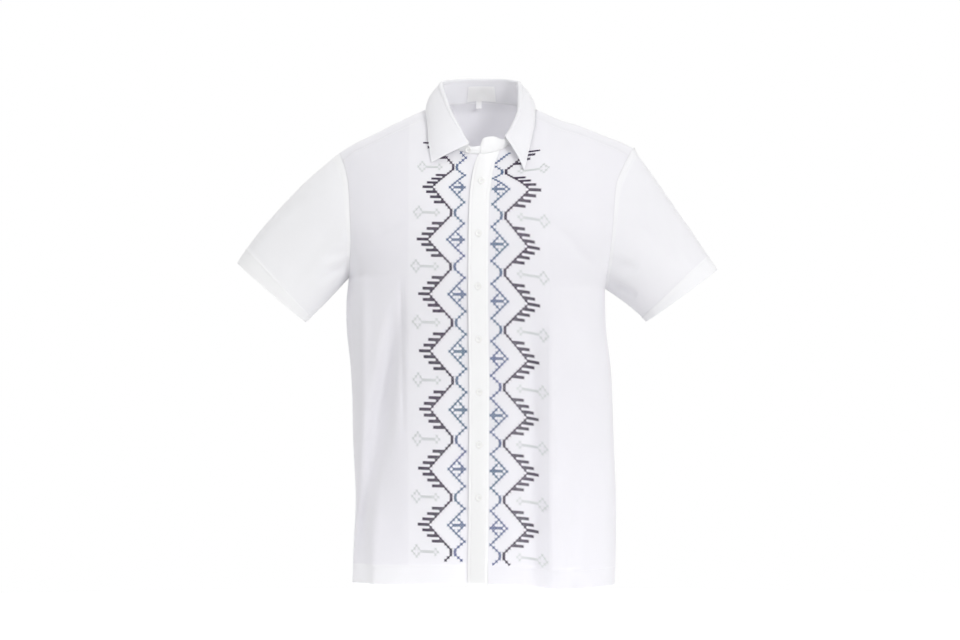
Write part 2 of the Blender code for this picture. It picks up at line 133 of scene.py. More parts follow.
# The cut of the shirt, as the solids have it
edge = namedtuple("edge", "z right left")
depth = namedtuple("depth", "z front back")
shoulder = namedtuple("shoulder", "x right left")
hem = namedtuple("hem", "x front")
placketEdge = namedtuple("placketEdge", "z left")
cuff = namedtuple("cuff", "outerX outerZ lowerX lowerZ")
puff = namedtuple("puff", "top side under")

shirtCut = {
    "sidePower": 2.4,
    "sideFade": 0.6,
    "ridgeFade": 0.4,
    "chestZ": -0.285,
    "backNeckRise": 0.024,
    "frontPower": 2.0,
    "chestSlope": 0.55,
    "chestSlopeX": 0.150,
    "backPower": 2.5,
    "armpitZ": {-1: -0.267, 1: -0.285},
    "shoulderPointZ": {-1: -0.0695, 1: -0.0615},
    "armholeReach": 0.64,
    "armholeRound": 0.100,
    "neckX": 0.074,
    "neckFrontZ": -0.073,
    "shoulderSeamDrop": 0.013,
    "yokeSeamZ": -0.092,
    "backNeckTurn": math.radians(24),
    "seamShare": 0.5,
    "ridgeShare": 0.74,
    "backHemZ": -0.7555,
    "hemBand": 0.030,
    "ventHeight": 0.048,
    "ventGap": 0.0025,
    "wall": 0.0009,
    "edges": (
        edge(-0.760, 0.2030, 0.2160),
        edge(-0.690, 0.2005, 0.2176),
        edge(-0.620, 0.1975, 0.2176),
        edge(-0.526, 0.2016, 0.2140),
        edge(-0.460, 0.2030, 0.2118),
        edge(-0.410, 0.2056, 0.2090),
        edge(-0.350, 0.2118, 0.2018),
        edge(-0.305, 0.2120, 0.2002),
        edge(-0.285, 0.2102, 0.2000),
        edge(-0.267, 0.2080, 0.2015),
        edge(-0.215, 0.2035, 0.2075),
        edge(-0.165, 0.2048, 0.2120),
        edge(-0.120, 0.2080, 0.2168),
        edge(-0.095, 0.2135, 0.2270),
        edge(-0.0695, 0.2240, 0.2405),
        edge(-0.0615, 0.2285, 0.2455),
    ),
    "depths": (
        depth(-0.760, 0.132, 0.122),
        depth(-0.520, 0.130, 0.116),
        depth(-0.380, 0.134, 0.118),
        depth(-0.285, 0.138, 0.124),
        depth(-0.200, 0.138, 0.128),
        depth(-0.050, 0.135, 0.126),
    ),
    "shoulders": (
        shoulder(0.000, 0.0160, 0.0160),
        shoulder(0.074, 0.0040, 0.0060),
        shoulder(0.130, -0.0200, -0.0170),
        shoulder(0.160, -0.0350, -0.0260),
        shoulder(0.200, -0.0545, -0.0420),
        shoulder(0.225, -0.0700, -0.0515),
        shoulder(0.250, -0.0850, -0.0640),
    ),
    "hems": (
        hem(-0.205, -0.7550),
        hem(-0.130, -0.7515),
        hem(-0.020, -0.7490),
        hem(0.060, -0.7510),
        hem(0.115, -0.7580),
        hem(0.165, -0.7570),
        hem(0.218, -0.7560),
    ),
}

readEdge = {-1: curve(shirtCut["edges"], "right"), 1: curve(shirtCut["edges"], "left")}
readShoulder = {
    -1: curve(shirtCut["shoulders"], "right"),
    1: curve(shirtCut["shoulders"], "left"),
}
readDepth = {-1: curve(shirtCut["depths"], "front"), 1: curve(shirtCut["depths"], "back")}
hemZ = curve(shirtCut["hems"], "front")

# Creases: a soft trough (or a ridge, with a depth below 0) between two points of the front
# view. lean above 1 makes its side towards +X the softer one, below 1 the crisper one.
crease = namedtuple("crease", "face xTop zTop xLow zLow width depth grow lean")
bodyCreases = (
    # the wearer's right front
    crease(-1, -0.1190, -0.270, -0.2080, -0.790, 0.0150, 0.0230, 0.30, 1.0),
    crease(-1, -0.182, -0.240, -0.188, -0.560, 0.0110, -0.0070, 0.35, 1.0),
    crease(-1, -0.1225, -0.255, -0.119, -0.480, 0.0050, 0.0040, 0.30, 0.6),
    crease(-1, -0.138, -0.300, -0.150, -0.600, 0.0080, 0.0026, 0.35, 1.6),
    crease(-1, -0.150, -0.380, -0.146, -0.700, 0.0260, 0.0080, 0.40, 1.1),
    crease(-1, -0.182, -0.590, -0.179, -0.790, 0.0130, 0.0120, 0.35, 0.60),
    crease(-1, -0.185, -0.235, -0.112, -0.165, 0.0150, 0.0034, 0.45, 1.3),
    crease(-1, -0.204, -0.190, -0.201, -0.380, 0.0080, 0.0050, 0.35, 1.2),
    crease(-1, -0.090, -0.470, -0.096, -0.790, 0.0180, 0.0022, 0.50, 1.0),
    # the wearer's left front
    crease(-1, 0.080, -0.230, 0.084, -0.800, 0.0185, 0.0160, 0.45, 1.0),
    crease(-1, 0.128, -0.420, 0.128, -0.800, 0.016, -0.004, 0.70, 1.0),
    crease(-1, 0.1112, -0.200, 0.1114, -0.800, 0.0052, -0.0032, 0.45, 1.3),
    crease(-1, 0.184, -0.262, 0.120, -0.190, 0.0170, 0.0026, 0.45, 1.0),
    crease(-1, 0.176, -0.330, 0.186, -0.720, 0.0200, 0.0030, 0.55, 1.4),
    crease(-1, 0.150, -0.560, 0.142, -0.790, 0.0140, 0.0026, 0.45, 0.8),
    crease(-1, 0.062, -0.560, 0.070, -0.790, 0.0160, 0.0018, 0.50, 1.2),
    # the back
    crease(1, -0.105, -0.200, -0.120, -0.800, 0.020, 0.015, 0.60, 0.8),
    crease(1, 0.095, -0.180, 0.115, -0.800, 0.019, 0.016, 0.60, 1.3),
    crease(1, 0.010, -0.420, 0.005, -0.800, 0.024, 0.009, 0.60, 1.0),
    crease(1, -0.060, -0.130, -0.045, -0.520, 0.0130, 0.0036, 0.40, 0.8),
    crease(1, 0.052, -0.120, 0.058, -0.460, 0.0110, 0.0032, 0.45, 1.3),
    crease(1, -0.172, -0.250, -0.070, -0.330, 0.0150, 0.0060, 0.35, 1.2),
    crease(1, 0.176, -0.262, 0.085, -0.350, 0.0130, 0.0054, 0.40, 0.8),
    crease(1, -0.140, -0.470, -0.156, -0.790, 0.0110, 0.0042, 0.50, 1.5),
    crease(1, 0.150, -0.520, 0.140, -0.790, 0.0120, 0.0040, 0.50, 0.7),
)
creasesOf = {face: [c for c in bodyCreases if c.face == face] for face in (-1, 1)}

creaseLook = {"reach": 3.2, "fadeEnd": 1.35, "fadeSpan": 0.6, "hemZ": -0.70}
softness = {"size": 0.0011, "length": 0.085, "fineSize": 0.00035, "fineLength": 0.026}


def cockle(x, y, z):
    # the small unevenness that hanging linen has
    place = Vector((x, y, z))
    coarse = noise.noise(place / softness["length"])
    fine = noise.noise(place / softness["fineLength"])
    return softness["size"] * coarse + softness["fineSize"] * fine


def creaseDepth(face, x, z):
    total = 0.0
    for c in creasesOf[face]:
        along = (z - c.zTop) / (c.zLow - c.zTop)
        if along <= 0.0:
            continue
        across = x - mix(c.xTop, c.xLow, min(along, 1.0))
        across /= c.width * (c.lean if across > 0 else 1.0)
        if abs(across) > creaseLook["reach"]:
            continue
        runsOut = c.zLow < creaseLook["hemZ"]  # a crease that low runs out at the hem
        fade = 1.0 if runsOut else smooth((creaseLook["fadeEnd"] - along) / creaseLook["fadeSpan"])
        total += c.depth * smooth(along / c.grow) * fade * math.exp(-across * across)
    return total


def edgeX(side, z):
    return readEdge[side](min(z, shirtCut["shoulderPointZ"][side]))


def shoulderZ(side, face, x):
    top = readShoulder[side](x)
    neckX = shirtCut["neckX"]
    if face > 0 and x < neckX:
        top += shirtCut["backNeckRise"] * (1.0 - (x / neckX) ** 2)
    return top


def cutShare(side, z):
    rise = clamp((z - shirtCut["armpitZ"][side]) / shirtCut["armholeRound"])
    reach = shirtCut["armholeReach"] * math.sqrt(1.0 - (1.0 - rise) ** 2)
    power = shirtCut["sidePower"]
    return (1.0 - reach**power) ** (1.0 / power)


def slopePowers(face, x):
    if face > 0:
        return shirtCut["backPower"], shirtCut["backPower"]
    nearNeck = 1.0 - smooth(x / shirtCut["chestSlopeX"])
    front = shirtCut["frontPower"]
    return front, front - shirtCut["chestSlope"] * nearNeck


def bodyY(side, face, x, z):
    full = edgeX(side, z) / cutShare(side, z)
    power = shirtCut["sidePower"]
    roundSide = (1.0 - clamp(x / full) ** power) ** (1.0 / power)
    top = shoulderZ(side, face, x)
    chest = shirtCut["chestZ"]
    rise = clamp((z - chest) / (top - chest))
    risePower, depthPower = slopePowers(face, x)
    taper = (1.0 - rise**risePower) ** (1.0 / depthPower)
    reach = readDepth[face](z) * roundSide * taper
    fade = smooth(roundSide / shirtCut["sideFade"]) * smooth(taper / shirtCut["ridgeFade"])
    pressed = creaseDepth(face, side * x, z) + cockle(side * x, face * reach, z)
    return face * (reach - pressed * fade)


def bodyPoint(side, x, turn):
    face = 1 if turn > 0 else -1
    top = shoulderZ(side, face, x)
    power = slopePowers(face, x)[0]
    chest = shirtCut["chestZ"]
    z = chest + (top - chest) * max(math.cos(turn), 0.0) ** (2.0 / power)
    return Vector((side * x, bodyY(side, face, x, z), z))


def turnAt(side, face, x, z):
    chest = shirtCut["chestZ"]
    rise = clamp((z - chest) / (shoulderZ(side, face, x) - chest))
    return face * math.acos(rise ** (slopePowers(face, x)[0] / 2.0))


def armholePoint(side, turn):
    low = shirtCut["armpitZ"][side]
    high = shirtCut["shoulderPointZ"][side]
    z = low + (high - low) * (1.0 - math.cos(2 * math.pi * turn)) / 2
    face = -1 if turn < 0.5 else 1
    x = edgeX(side, z)
    return Vector((side * x, bodyY(side, face, x, z), z))


def neckDepthZ(side, x):
    high = shoulderZ(side, -1, shirtCut["neckX"]) - shirtCut["shoulderSeamDrop"]
    share = math.sqrt(1.0 - clamp(abs(x) / shirtCut["neckX"]) ** 2)
    return mix(high, shirtCut["neckFrontZ"], share)


def backNeck(side, place):
    neckX = shirtCut["neckX"]
    ridge = shirtCut["ridgeShare"]
    if place < ridge:
        angle = place / ridge * math.pi / 2
        return neckX * math.sin(angle), shirtCut["backNeckTurn"] * math.cos(angle)
    frontTurn = turnAt(side, -1, neckX, neckDepthZ(side, neckX))
    return neckX, frontTurn * (place - ridge) / (1.0 - ridge)


def neckline(share):
    side = 1 if share > 0 else -1
    half = shirtCut["seamShare"]
    if abs(share) >= half:
        x = shirtCut["neckX"] * math.sin((1.0 - abs(share)) / (1.0 - half) * math.pi / 2)
        z = neckDepthZ(side, x)
        y = bodyY(side, -1, abs(x), z)
        if side < 0:
            y += tuck(-x)
        return Vector((side * x, y, z))
    return bodyPoint(side, *backNeck(side, abs(share) / half))


# Cloth: a grid whose corners are 0..1 by 0..1, shaped by point(u, v), then given its wall


def cloth(name, columns, rows, point, flat, wall, layers=None, tube=False):
    bm = bmesh.new()
    bmesh.ops.create_grid(bm, x_segments=columns, y_segments=rows, size=0.5)
    weave = bm.loops.layers.uv.new("weave")
    doubled = bm.verts.layers.float.new("layers")
    for vert in bm.verts:
        u = clamp(vert.co.x + 0.5)
        v = clamp(vert.co.y + 0.5)
        for loop in vert.link_loops:
            loop[weave].uv = (u * flat[0], v * flat[1])
        vert[doubled] = layers(u, v) if layers else 0.0
        vert.co = point(u, v)
    if tube:
        closeUp(bm)
    bmesh.ops.recalc_face_normals(bm, faces=bm.faces[:])
    for line in bm.edges:
        line.smooth = not line.is_boundary  # keeps the wall's rim from darkening the cloth
    mesh = takeMesh(bm, name)
    mesh.shade_smooth()
    made = link(name, mesh)
    thick = made.modifiers.new("wall", "SOLIDIFY")
    thick.thickness = wall
    thick.offset = 0.0
    thick.use_even_offset = True
    return made


def dress(made, node, pieces):
    # stands for its solid, and waits with its like for their finish
    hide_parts(node)
    pieces.append(made)


# Fronts
fronts = {
    "neckColumns": 34,
    "shoulderColumns": 58,
    "bodyRows": 116,
    "chestRows": 66,
    "bandRows": 8,
    "bandStep": 0.0012,
    "bandLift": 0.0005,
    "rightReach": 0.008,
    "tuck": 0.0026,
    "tuckX": -0.045,
    "tuckSpan": 0.023,
    "facingX": {-1: 0.1115, 1: 0.1085},
    "facingEdge": 0.003,
    "facingTone": {-1: 0.14, 1: 0.04},
    # the hem band is doubled cloth; its lower tone on the wearer's left is painted shade set against the key
    # light on that side
    "hemTone": {-1: 0.32, 1: 0.04},
    "flat": (0.335, 0.745),
    "area": 0.205,
}
placket = {
    "width": 0.0312,
    "hang": 0.0055,
    "columns": 12,
    "rows": 220,
    "wall": 0.0016,
    "flat": (0.0312, 0.700),
    "tone": 1.0,
    "waver": 0.0005,
    "waverRate": 22.0,
    "lift": 0.0009,
    "liftRate": 14.0,
    "liftSpan": 3.0,
    "edges": (
        placketEdge(-0.760, -0.0184),
        placketEdge(-0.460, -0.0160),
        placketEdge(-0.300, -0.0176),
        placketEdge(-0.150, -0.0160),
        placketEdge(-0.108, -0.0112),
        placketEdge(-0.088, -0.0066),
        placketEdge(-0.074, -0.0010),
        placketEdge(-0.060, 0.0016),
    ),
}
placketLeft = curve(placket["edges"], "left")


def tuck(x):
    # how far the right front steps back to pass under the placket
    return fronts["tuck"] * smooth((x - fronts["tuckX"]) / fronts["tuckSpan"])


def vent(z, hemLine):
    return shirtCut["ventGap"] * smooth((hemLine + shirtCut["ventHeight"] - z) / shirtCut["ventHeight"])


def bandRow(row, rows, low, high):
    # rows that put a crisp step at the top of the hem band
    band = fronts["bandRows"]
    top = low + shirtCut["hemBand"]
    start = top + fronts["bandStep"]
    if row <= band:
        return low + shirtCut["hemBand"] * row / band
    if row <= band + 1:
        return mix(top, start, row - band)
    return mix(start, high, (row - band - 1) / (rows - band - 1))


def frontColumn(side, u, start):
    index = u * (fronts["neckColumns"] + fronts["shoulderColumns"])
    topX = edgeX(side, shirtCut["shoulderPointZ"][side])
    if index <= fronts["neckColumns"]:
        x = mix(start, shirtCut["neckX"], math.sin(index / fronts["neckColumns"] * math.pi / 2))
    else:
        along = (index - fronts["neckColumns"]) / fronts["shoulderColumns"]
        x = mix(shirtCut["neckX"], topX, along)
    reach = math.asin(cutShare(side, shirtCut["shoulderPointZ"][side]))
    share = clamp((x - start) / (topX - start))
    return math.asin(share * math.sin(reach)) / reach, x


def frontStart(side, z):
    if side > 0:
        return placketLeft(z) + placket["width"]
    return -fronts["rightReach"]


def frontTop(side, x):
    if x < shirtCut["neckX"]:
        return neckDepthZ(side, x)
    return shoulderZ(side, -1, x) - shirtCut["shoulderSeamDrop"]


def frontSurface(side, x, z):
    # the face of a front at a distance from the centre plane and a height
    y = bodyY(side, -1, abs(x), z)
    if side < 0:
        y += tuck(-x)
    return Vector((side * x, y, z))


def frontPoint(side):
    rows = fronts["bodyRows"] + fronts["chestRows"]
    armpit = shirtCut["armpitZ"][side]

    def point(u, v):
        column, topX = frontColumn(side, u, frontStart(side, 0.0))
        row = v * rows
        if row <= fronts["bodyRows"]:
            low = hemZ(side * edgeX(side, armpit) * u)
            z = bandRow(row, fronts["bodyRows"], low, armpit)
        else:
            z = mix(armpit, frontTop(side, topX), (row - fronts["bodyRows"]) / fronts["chestRows"])
        width = edgeX(side, z)
        reach = math.asin(cutShare(side, z))
        start = frontStart(side, z)
        x = mix(start, width, math.sin(column * reach) / math.sin(reach))
        place = frontSurface(side, x, z)
        if row <= fronts["bandRows"]:
            place.y -= fronts["bandLift"]
        if u > 0.9999:
            place.y -= vent(z, hemZ(side * x))
        return place

    return point


def frontLayersAndPaintedShade(side):
    rows = fronts["bodyRows"] + fronts["chestRows"]
    point = frontPoint(side)

    def layers(u, v):
        # the doubled hem band, painted less white on the wearer's left as painted shade
        if v * rows <= fronts["bandRows"] + 0.1:
            return fronts["hemTone"][side]
        x = abs(point(u, v).x)
        return fronts["facingTone"][side] * smooth((fronts["facingX"][side] - x) / fronts["facingEdge"] + 0.5)

    return layers


def makeFronts():
    for side in (-1, 1):
        made = cloth(
            "frontPanel_" + sideName(side),
            fronts["neckColumns"] + fronts["shoulderColumns"],
            fronts["bodyRows"] + fronts["chestRows"],
            frontPoint(side),
            fronts["flat"],
            shirtCut["wall"],
            layers=frontLayersAndPaintedShade(side),
        )
        dress(made, "front_" + sideName(side), clothPieces)


def placketPoint(across, z):
    x = placketLeft(z) + placket["width"] * across
    x += placket["waver"] * noise.noise(Vector((0.0, across, z * placket["waverRate"])))
    y = bodyY(1, -1, abs(x), z)
    loose = 0.5 + noise.noise(Vector((3.0, 0.0, z * placket["liftRate"])))
    y -= placket["lift"] * (1.0 - smooth(across * placket["liftSpan"])) * loose
    return Vector((x, y, z))


def placketTop(u):
    return neckDepthZ(1, placketLeft(shirtCut["neckFrontZ"]) + placket["width"] * u)


def makePlacket():
    low = hemZ(0.0) - placket["hang"]

    def point(u, v):
        return placketPoint(u, mix(low, placketTop(u), v))

    made = cloth(
        "placketBand",
        placket["columns"],
        placket["rows"],
        point,
        placket["flat"],
        placket["wall"],
        layers=lambda u, v: placket["tone"],
    )
    dress(made, "placket", doubledPieces)


# Back and yoke
back = {
    "columns": 128,
    "bodyRows": 116,
    "chestRows": 48,
    "hemTone": 0.40,
    "flat": (0.600, 0.680),
    "area": 0.375,
}
yoke = {
    "columns": 168,
    "rows": 40,
    "settleSteps": 6,
    "tone": 0.08,
    "flat": (0.500, 0.240),
    "area": 0.072,
}


def backPoint(u, v):
    side = 1 if u > 0.5 else -1
    column = abs(2 * u - 1)
    armpit = mix(shirtCut["armpitZ"][-1], shirtCut["armpitZ"][1], u)
    row = v * (back["bodyRows"] + back["chestRows"])
    if row <= back["bodyRows"]:
        z = bandRow(row, back["bodyRows"], shirtCut["backHemZ"], armpit)
    else:
        z = mix(armpit, shirtCut["yokeSeamZ"], (row - back["bodyRows"]) / back["chestRows"])
    reach = math.asin(cutShare(side, z))
    x = edgeX(side, z) * math.sin(column * reach) / math.sin(reach)
    y = bodyY(side, 1, x, z)
    if row <= fronts["bandRows"]:
        y += fronts["bandLift"]
    if column > 0.9999:
        y += vent(z, shirtCut["backHemZ"])
    return Vector((side * x, y, z))


def makeBack():
    rows = back["bodyRows"] + back["chestRows"]
    made = cloth(
        "backPanel",
        back["columns"],
        rows,
        backPoint,
        back["flat"],
        shirtCut["wall"],
        layers=lambda u, v: back["hemTone"] if v * rows <= fronts["bandRows"] + 0.1 else 0.0,
    )
    dress(made, "back", clothPieces)


def yokeOuter(share):
    side = 1 if share > 0 else -1
    place = abs(share)
    half = shirtCut["seamShare"]
    seamZ = shirtCut["yokeSeamZ"]
    cornerX = edgeX(side, seamZ)
    if place < half:
        x = cornerX * place / half
        return x, turnAt(side, 1, x, seamZ)
    backTurn = turnAt(side, 1, cornerX, seamZ)
    topX = edgeX(side, shirtCut["shoulderPointZ"][side])
    frontTurn = turnAt(side, -1, topX, frontTop(side, topX))
    turn = mix(backTurn, frontTurn, (place - half) / (1.0 - half))
    x = topX
    for step in range(yoke["settleSteps"]):  # x and the height that it gives settle together
        x = edgeX(side, bodyPoint(side, x, turn).z)
    return x, turn


def yokePoint(u, v):
    share = 2 * u - 1
    side = 1 if share > 0 else -1
    if abs(share) > 0.99999:
        columns = fronts["neckColumns"] + fronts["shoulderColumns"]
        return frontPoint(side)((fronts["neckColumns"] + v * fronts["shoulderColumns"]) / columns, 1.0)
    innerX, innerTurn = backNeck(side, abs(share))
    outerX, outerTurn = yokeOuter(share)
    return bodyPoint(side, mix(innerX, outerX, v), mix(innerTurn, outerTurn, v))


def makeYoke():
    made = cloth(
        "yokePanel",
        yoke["columns"],
        yoke["rows"],
        yokePoint,
        yoke["flat"],
        shirtCut["wall"],
        layers=lambda u, v: yoke["tone"],
    )
    dress(made, "yoke", clothPieces)


# Sleeves
pull = namedtuple("pull", "side turn spread start end depth twist")
sleeves = {
    "columns": 132,
    "rows": 66,
    "bandRows": 8,
    "cuffBand": 0.115,
    "cuffHalfDepth": 0.062,
    "seamBand": 0.048,
    "seamEdge": 0.012,
    "bandStep": 0.006,
    "cockleScale": 1.2,
    # plain and turned tones; the cuff and seam bands are doubled cloth, and the wearer's right sleeve is set
    # whiter than the left as painted light
    "tone": {-1: (0.50, 0.75), 1: (0.15, 0.45)},
    "pullScale": 1.6,
    "cuffs": {
        -1: cuff(0.387, -0.245, 0.278, -0.339),
        1: cuff(0.380, -0.256, 0.267, -0.338),
    },
    "puffs": {-1: puff(0.010, 0.005, 0.001), 1: puff(0.001, 0.005, -0.003)},
    "flat": (0.520, 0.235),
    "area": 0.085,
    # pulls: creases that run out from the armhole, by turn round the sleeve and length
    "pulls": (
        pull(-1, 0.105, 0.020, 0.00, 0.55, 0.0042, 0.06),
        pull(-1, 0.155, 0.016, 0.00, 0.40, 0.0028, 0.05),
        pull(-1, 0.250, 0.030, 0.10, 0.85, 0.0022, -0.03),
        pull(-1, 0.400, 0.035, 0.20, 0.95, -0.0020, 0.02),
        pull(-1, 0.880, 0.022, 0.00, 0.60, 0.0040, -0.06),
        pull(-1, 0.720, 0.034, 0.10, 0.90, 0.0026, 0.04),
        pull(1, 0.070, 0.018, 0.00, 0.60, 0.0044, 0.05),
        pull(1, 0.130, 0.020, 0.00, 0.45, 0.0030, 0.07),
        pull(1, 0.270, 0.034, 0.05, 0.90, 0.0020, 0.05),
        pull(1, 0.380, 0.026, 0.30, 0.95, 0.0016, -0.04),
        pull(1, 0.900, 0.020, 0.00, 0.55, 0.0042, -0.05),
        pull(1, 0.700, 0.032, 0.15, 0.90, 0.0028, -0.03),
    ),
}


def sleeveMiddles(side):
    # the middle of the armhole and the middle of the cuff
    ends = sleeves["cuffs"][side]
    start = (armholePoint(side, 0.0) + armholePoint(side, 0.5)) / 2
    centre = Vector((side * (ends.outerX + ends.lowerX) / 2, 0.0, (ends.outerZ + ends.lowerZ) / 2))
    return start, centre


def sleevePoint(side):
    ends = sleeves["cuffs"][side]
    swell = sleeves["puffs"][side]
    start, centre = sleeveMiddles(side)
    axis = (centre - start).normalized()
    up = Vector((side * ends.outerX, 0.0, ends.outerZ)) - centre
    pulls = [p for p in sleeves["pulls"] if p.side == side]

    def point(u, v):
        angle = 2 * math.pi * u
        ring = up * -math.cos(angle) + Vector((0.0, -sleeves["cuffHalfDepth"], 0.0)) * math.sin(angle)
        head = armholePoint(side, u)
        out = (head - start) - axis * (head - start).dot(axis)
        rise = (1.0 - math.cos(angle)) / 2
        bulge = mix(swell.under, swell.top, rise) * math.cos(angle) ** 2
        bulge += swell.side * math.sin(angle) ** 2
        place = head.lerp(centre + ring, v)
        lift = bulge * 4 * v * (1 - v)
        for p in pulls:
            if p.start < v < p.end:
                along = (v - p.start) / (p.end - p.start)
                across = (u - p.turn - p.twist * along) / p.spread
                lift -= p.depth * sleeves["pullScale"] * 4 * along * (1 - along) * math.exp(-across * across)
        lift -= cockle(*place) * sleeves["cockleScale"] * smooth(v * 6) * smooth((1 - v) * 8)
        if v > 1.0 - sleeves["cuffBand"]:
            lift += fronts["bandLift"]
        return place + out.normalized() * lift

    return point


def sleeveRow(v):
    # rows that put a crisp step at the cuff's band
    row = v * sleeves["rows"]
    plainRows = sleeves["rows"] - sleeves["bandRows"]
    bandEdge = 1.0 - sleeves["cuffBand"] + 1e-6
    inner = 1.0 - sleeves["cuffBand"] - sleeves["bandStep"]
    if row <= plainRows - 1:
        return inner * row / (plainRows - 1)
    if row <= plainRows:
        return mix(inner, bandEdge, row - (plainRows - 1))
    return mix(bandEdge, 1.0, (row - plainRows) / sleeves["bandRows"])


def sleeveLayersAndPaintedLight(side):
    # doubled at the cuff and the armhole seam, and whiter on the wearer's right as painted light
    plain, turned = sleeves["tone"][side]

    def layers(u, v):
        place = sleeveRow(v)
        if place > 1.0 - sleeves["cuffBand"]:
            return turned
        return mix(plain, turned, smooth((sleeves["seamBand"] - place) / sleeves["seamEdge"] + 0.5))

    return layers


def makeSleeves():
    for side in (-1, 1):
        shape = sleevePoint(side)
        made = cloth(
            "sleevePanel_" + sideName(side),
            sleeves["columns"],
            sleeves["rows"],
            lambda u, v: shape(u, sleeveRow(v)),
            sleeves["flat"],
            shirtCut["wall"],
            layers=sleeveLayersAndPaintedLight(side),
            tube=True,
        )
        dress(made, "sleeve_" + sideName(side), clothPieces)


# Collar: stations round the neck, from the wearer's right front (-1) by the centre back (0)
# to the left front (1). The roll line tops the stand, and the edge ends the fall.
station = namedtuple("station", "share rollX rollY rollZ edgeX edgeY edgeZ")
collar = {
    "stations": (
        station(-1.06, 0.0100, -0.0850, -0.0590, -0.0752, -0.0966, -0.0870),
        station(-1.00, 0.0000, -0.0850, -0.0590, -0.0752, -0.0966, -0.0870),
        station(-0.89, -0.0168, -0.0850, -0.0580, -0.0752, -0.0966, -0.0880),
        station(-0.78, -0.0310, -0.0770, -0.0330, -0.0800, -0.0815, -0.0560),
        station(-0.65, -0.0440, -0.0590, -0.0070, -0.0820, -0.0600, -0.0280),
        station(-0.50, -0.0540, -0.0300, 0.0210, -0.0850, -0.0300, -0.0040),
        station(-0.37, -0.0590, 0.0010, 0.0385, -0.0840, 0.0050, 0.0060),
        station(-0.26, -0.0560, 0.0300, 0.0455, -0.0740, 0.0430, 0.0060),
        station(-0.14, -0.0360, 0.0540, 0.0500, -0.0470, 0.0700, 0.0050),
        station(0.00, 0.0000, 0.0630, 0.0515, 0.0000, 0.0810, 0.0050),
        station(0.14, 0.0360, 0.0540, 0.0505, 0.0470, 0.0700, 0.0060),
        station(0.26, 0.0575, 0.0300, 0.0460, 0.0750, 0.0430, 0.0070),
        station(0.37, 0.0615, 0.0020, 0.0405, 0.0870, 0.0050, 0.0070),
        station(0.50, 0.0616, -0.0290, 0.0190, 0.0880, -0.0320, -0.0040),
        station(0.60, 0.0600, -0.0540, -0.0060, 0.0860, -0.0620, -0.0300),
        station(0.70, 0.0525, -0.0730, -0.0260, 0.0790, -0.0860, -0.0620),
        station(0.79, 0.0390, -0.0870, -0.0480, 0.0702, -0.1030, -0.1005),
        station(0.90, 0.0215, -0.0885, -0.0440, 0.0702, -0.1030, -0.1005),
        station(0.992, 0.0020, -0.0885, -0.0465, 0.0702, -0.1030, -0.1005),
    ),
    "fallEnds": (-0.89, 0.79),
    "standEnds": (-1.05, 0.992),
    "endRound": {-1: 0.050, 1: 0.036},
    "endDrop": {-1: 0.005, 1: 0.0115},
    "lap": 0.0020,
    "lapOut": 0.0010,
    "rollClear": 0.0028,
    "rollSunk": 0.0055,
    "rollWide": 0.0062,
    "rollTall": 0.0030,
    "rollLow": 0.0012,
    "rollShare": 0.75,
    "rollOut": 0.0006,
    "centreY": -0.010,
    "crown": 0.0045,
    "bulge": 0.0016,
    "ripple": 0.0008,
    "rippleLength": 0.03,
    # the stand's tone at its back and at its front ends: the low back value is painted shade
    "standToneAndPaintedShade": (0.22, 1.0),
    "shadeAt": 0.58,
    "shadeReach": 0.22,
    "shadeEdge": 0.08,
    "fallTone": 0.30,
    "wall": 0.0015,
    "standColumns": 150,
    "standRows": 10,
    "fallColumns": 150,
    "foldRows": 12,
    "leafRows": 26,
    "standFlat": (0.440, 0.038),
    "standArea": 0.0125,
    "fallFlat": (0.480, 0.080),
    "fallArea": 0.031,
}
readStation = {name: curve(collar["stations"], name) for name in station._fields[1:]}


def rollPoint(share):
    return Vector((readStation["rollX"](share), readStation["rollY"](share), readStation["rollZ"](share)))


def edgePoint(share):
    return Vector((readStation["edgeX"](share), readStation["edgeY"](share), readStation["edgeZ"](share)))


def outward(place):
    return Vector((place.x, place.y - collar["centreY"], 0.0)).normalized()


def standPoint(share, rise):
    low = neckline(share)
    high = rollPoint(share) - Vector((0.0, 0.0, collar["rollClear"]))
    side = 1 if share > 0 else -1
    past = abs(share) - abs(collar["standEnds"][0 if side < 0 else 1])
    near = clamp(past / collar["endRound"][side] + 1.0)
    down = (low - high).normalized()
    high += down * collar["endDrop"][side] * (1.0 - math.sqrt(1.0 - near**2))
    low += down * collar["lap"] + outward(low) * collar["lapOut"]
    place = low.lerp(high, rise)
    return place + outward(place) * collar["bulge"] * math.sin(rise * math.pi)


def fallPoint(share, along):
    # along is -1..0 over the roll and 0..1 from the roll to the leaf's edge
    roll = rollPoint(share)
    out = outward(roll)
    rolled = collar["rollShare"]
    if along < -rolled:
        # the seam allowance, sunk into the top of the stand
        down = (neckline(share) - roll).normalized()
        sunk = (-rolled - along) / (1.0 - rolled)
        return roll + down * collar["rollSunk"] * sunk + out * collar["rollOut"] * sunk
    if along <= 0.0:
        turn = (along / rolled + 1.0) * math.pi
        step = collar["rollWide"] * (1.0 - math.cos(turn)) / 2
        rise = collar["rollTall"] * math.sin(turn) - collar["rollLow"] * (1.0 - math.cos(turn)) / 2
        return roll + out * step + Vector((0.0, 0.0, rise))
    start = roll + out * collar["rollWide"] - Vector((0.0, 0.0, collar["rollLow"]))
    swell = collar["crown"] * 4 * along * (1 - along)
    place = start.lerp(edgePoint(share), along)
    ripple = collar["ripple"] * noise.noise(place / collar["rippleLength"]) * smooth(along * 3)
    return place + out * (swell + ripple)


def standAt(u, v):
    return standPoint(mix(*collar["standEnds"], u), v)


def standLayersAndPaintedShade(u, v):
    # the stand's front ends are doubled white; its back is painted darker, painted shade inside the neck
    past = abs(u - collar["shadeAt"]) - collar["shadeReach"]
    return mix(*collar["standToneAndPaintedShade"], smooth(past / collar["shadeEdge"]))


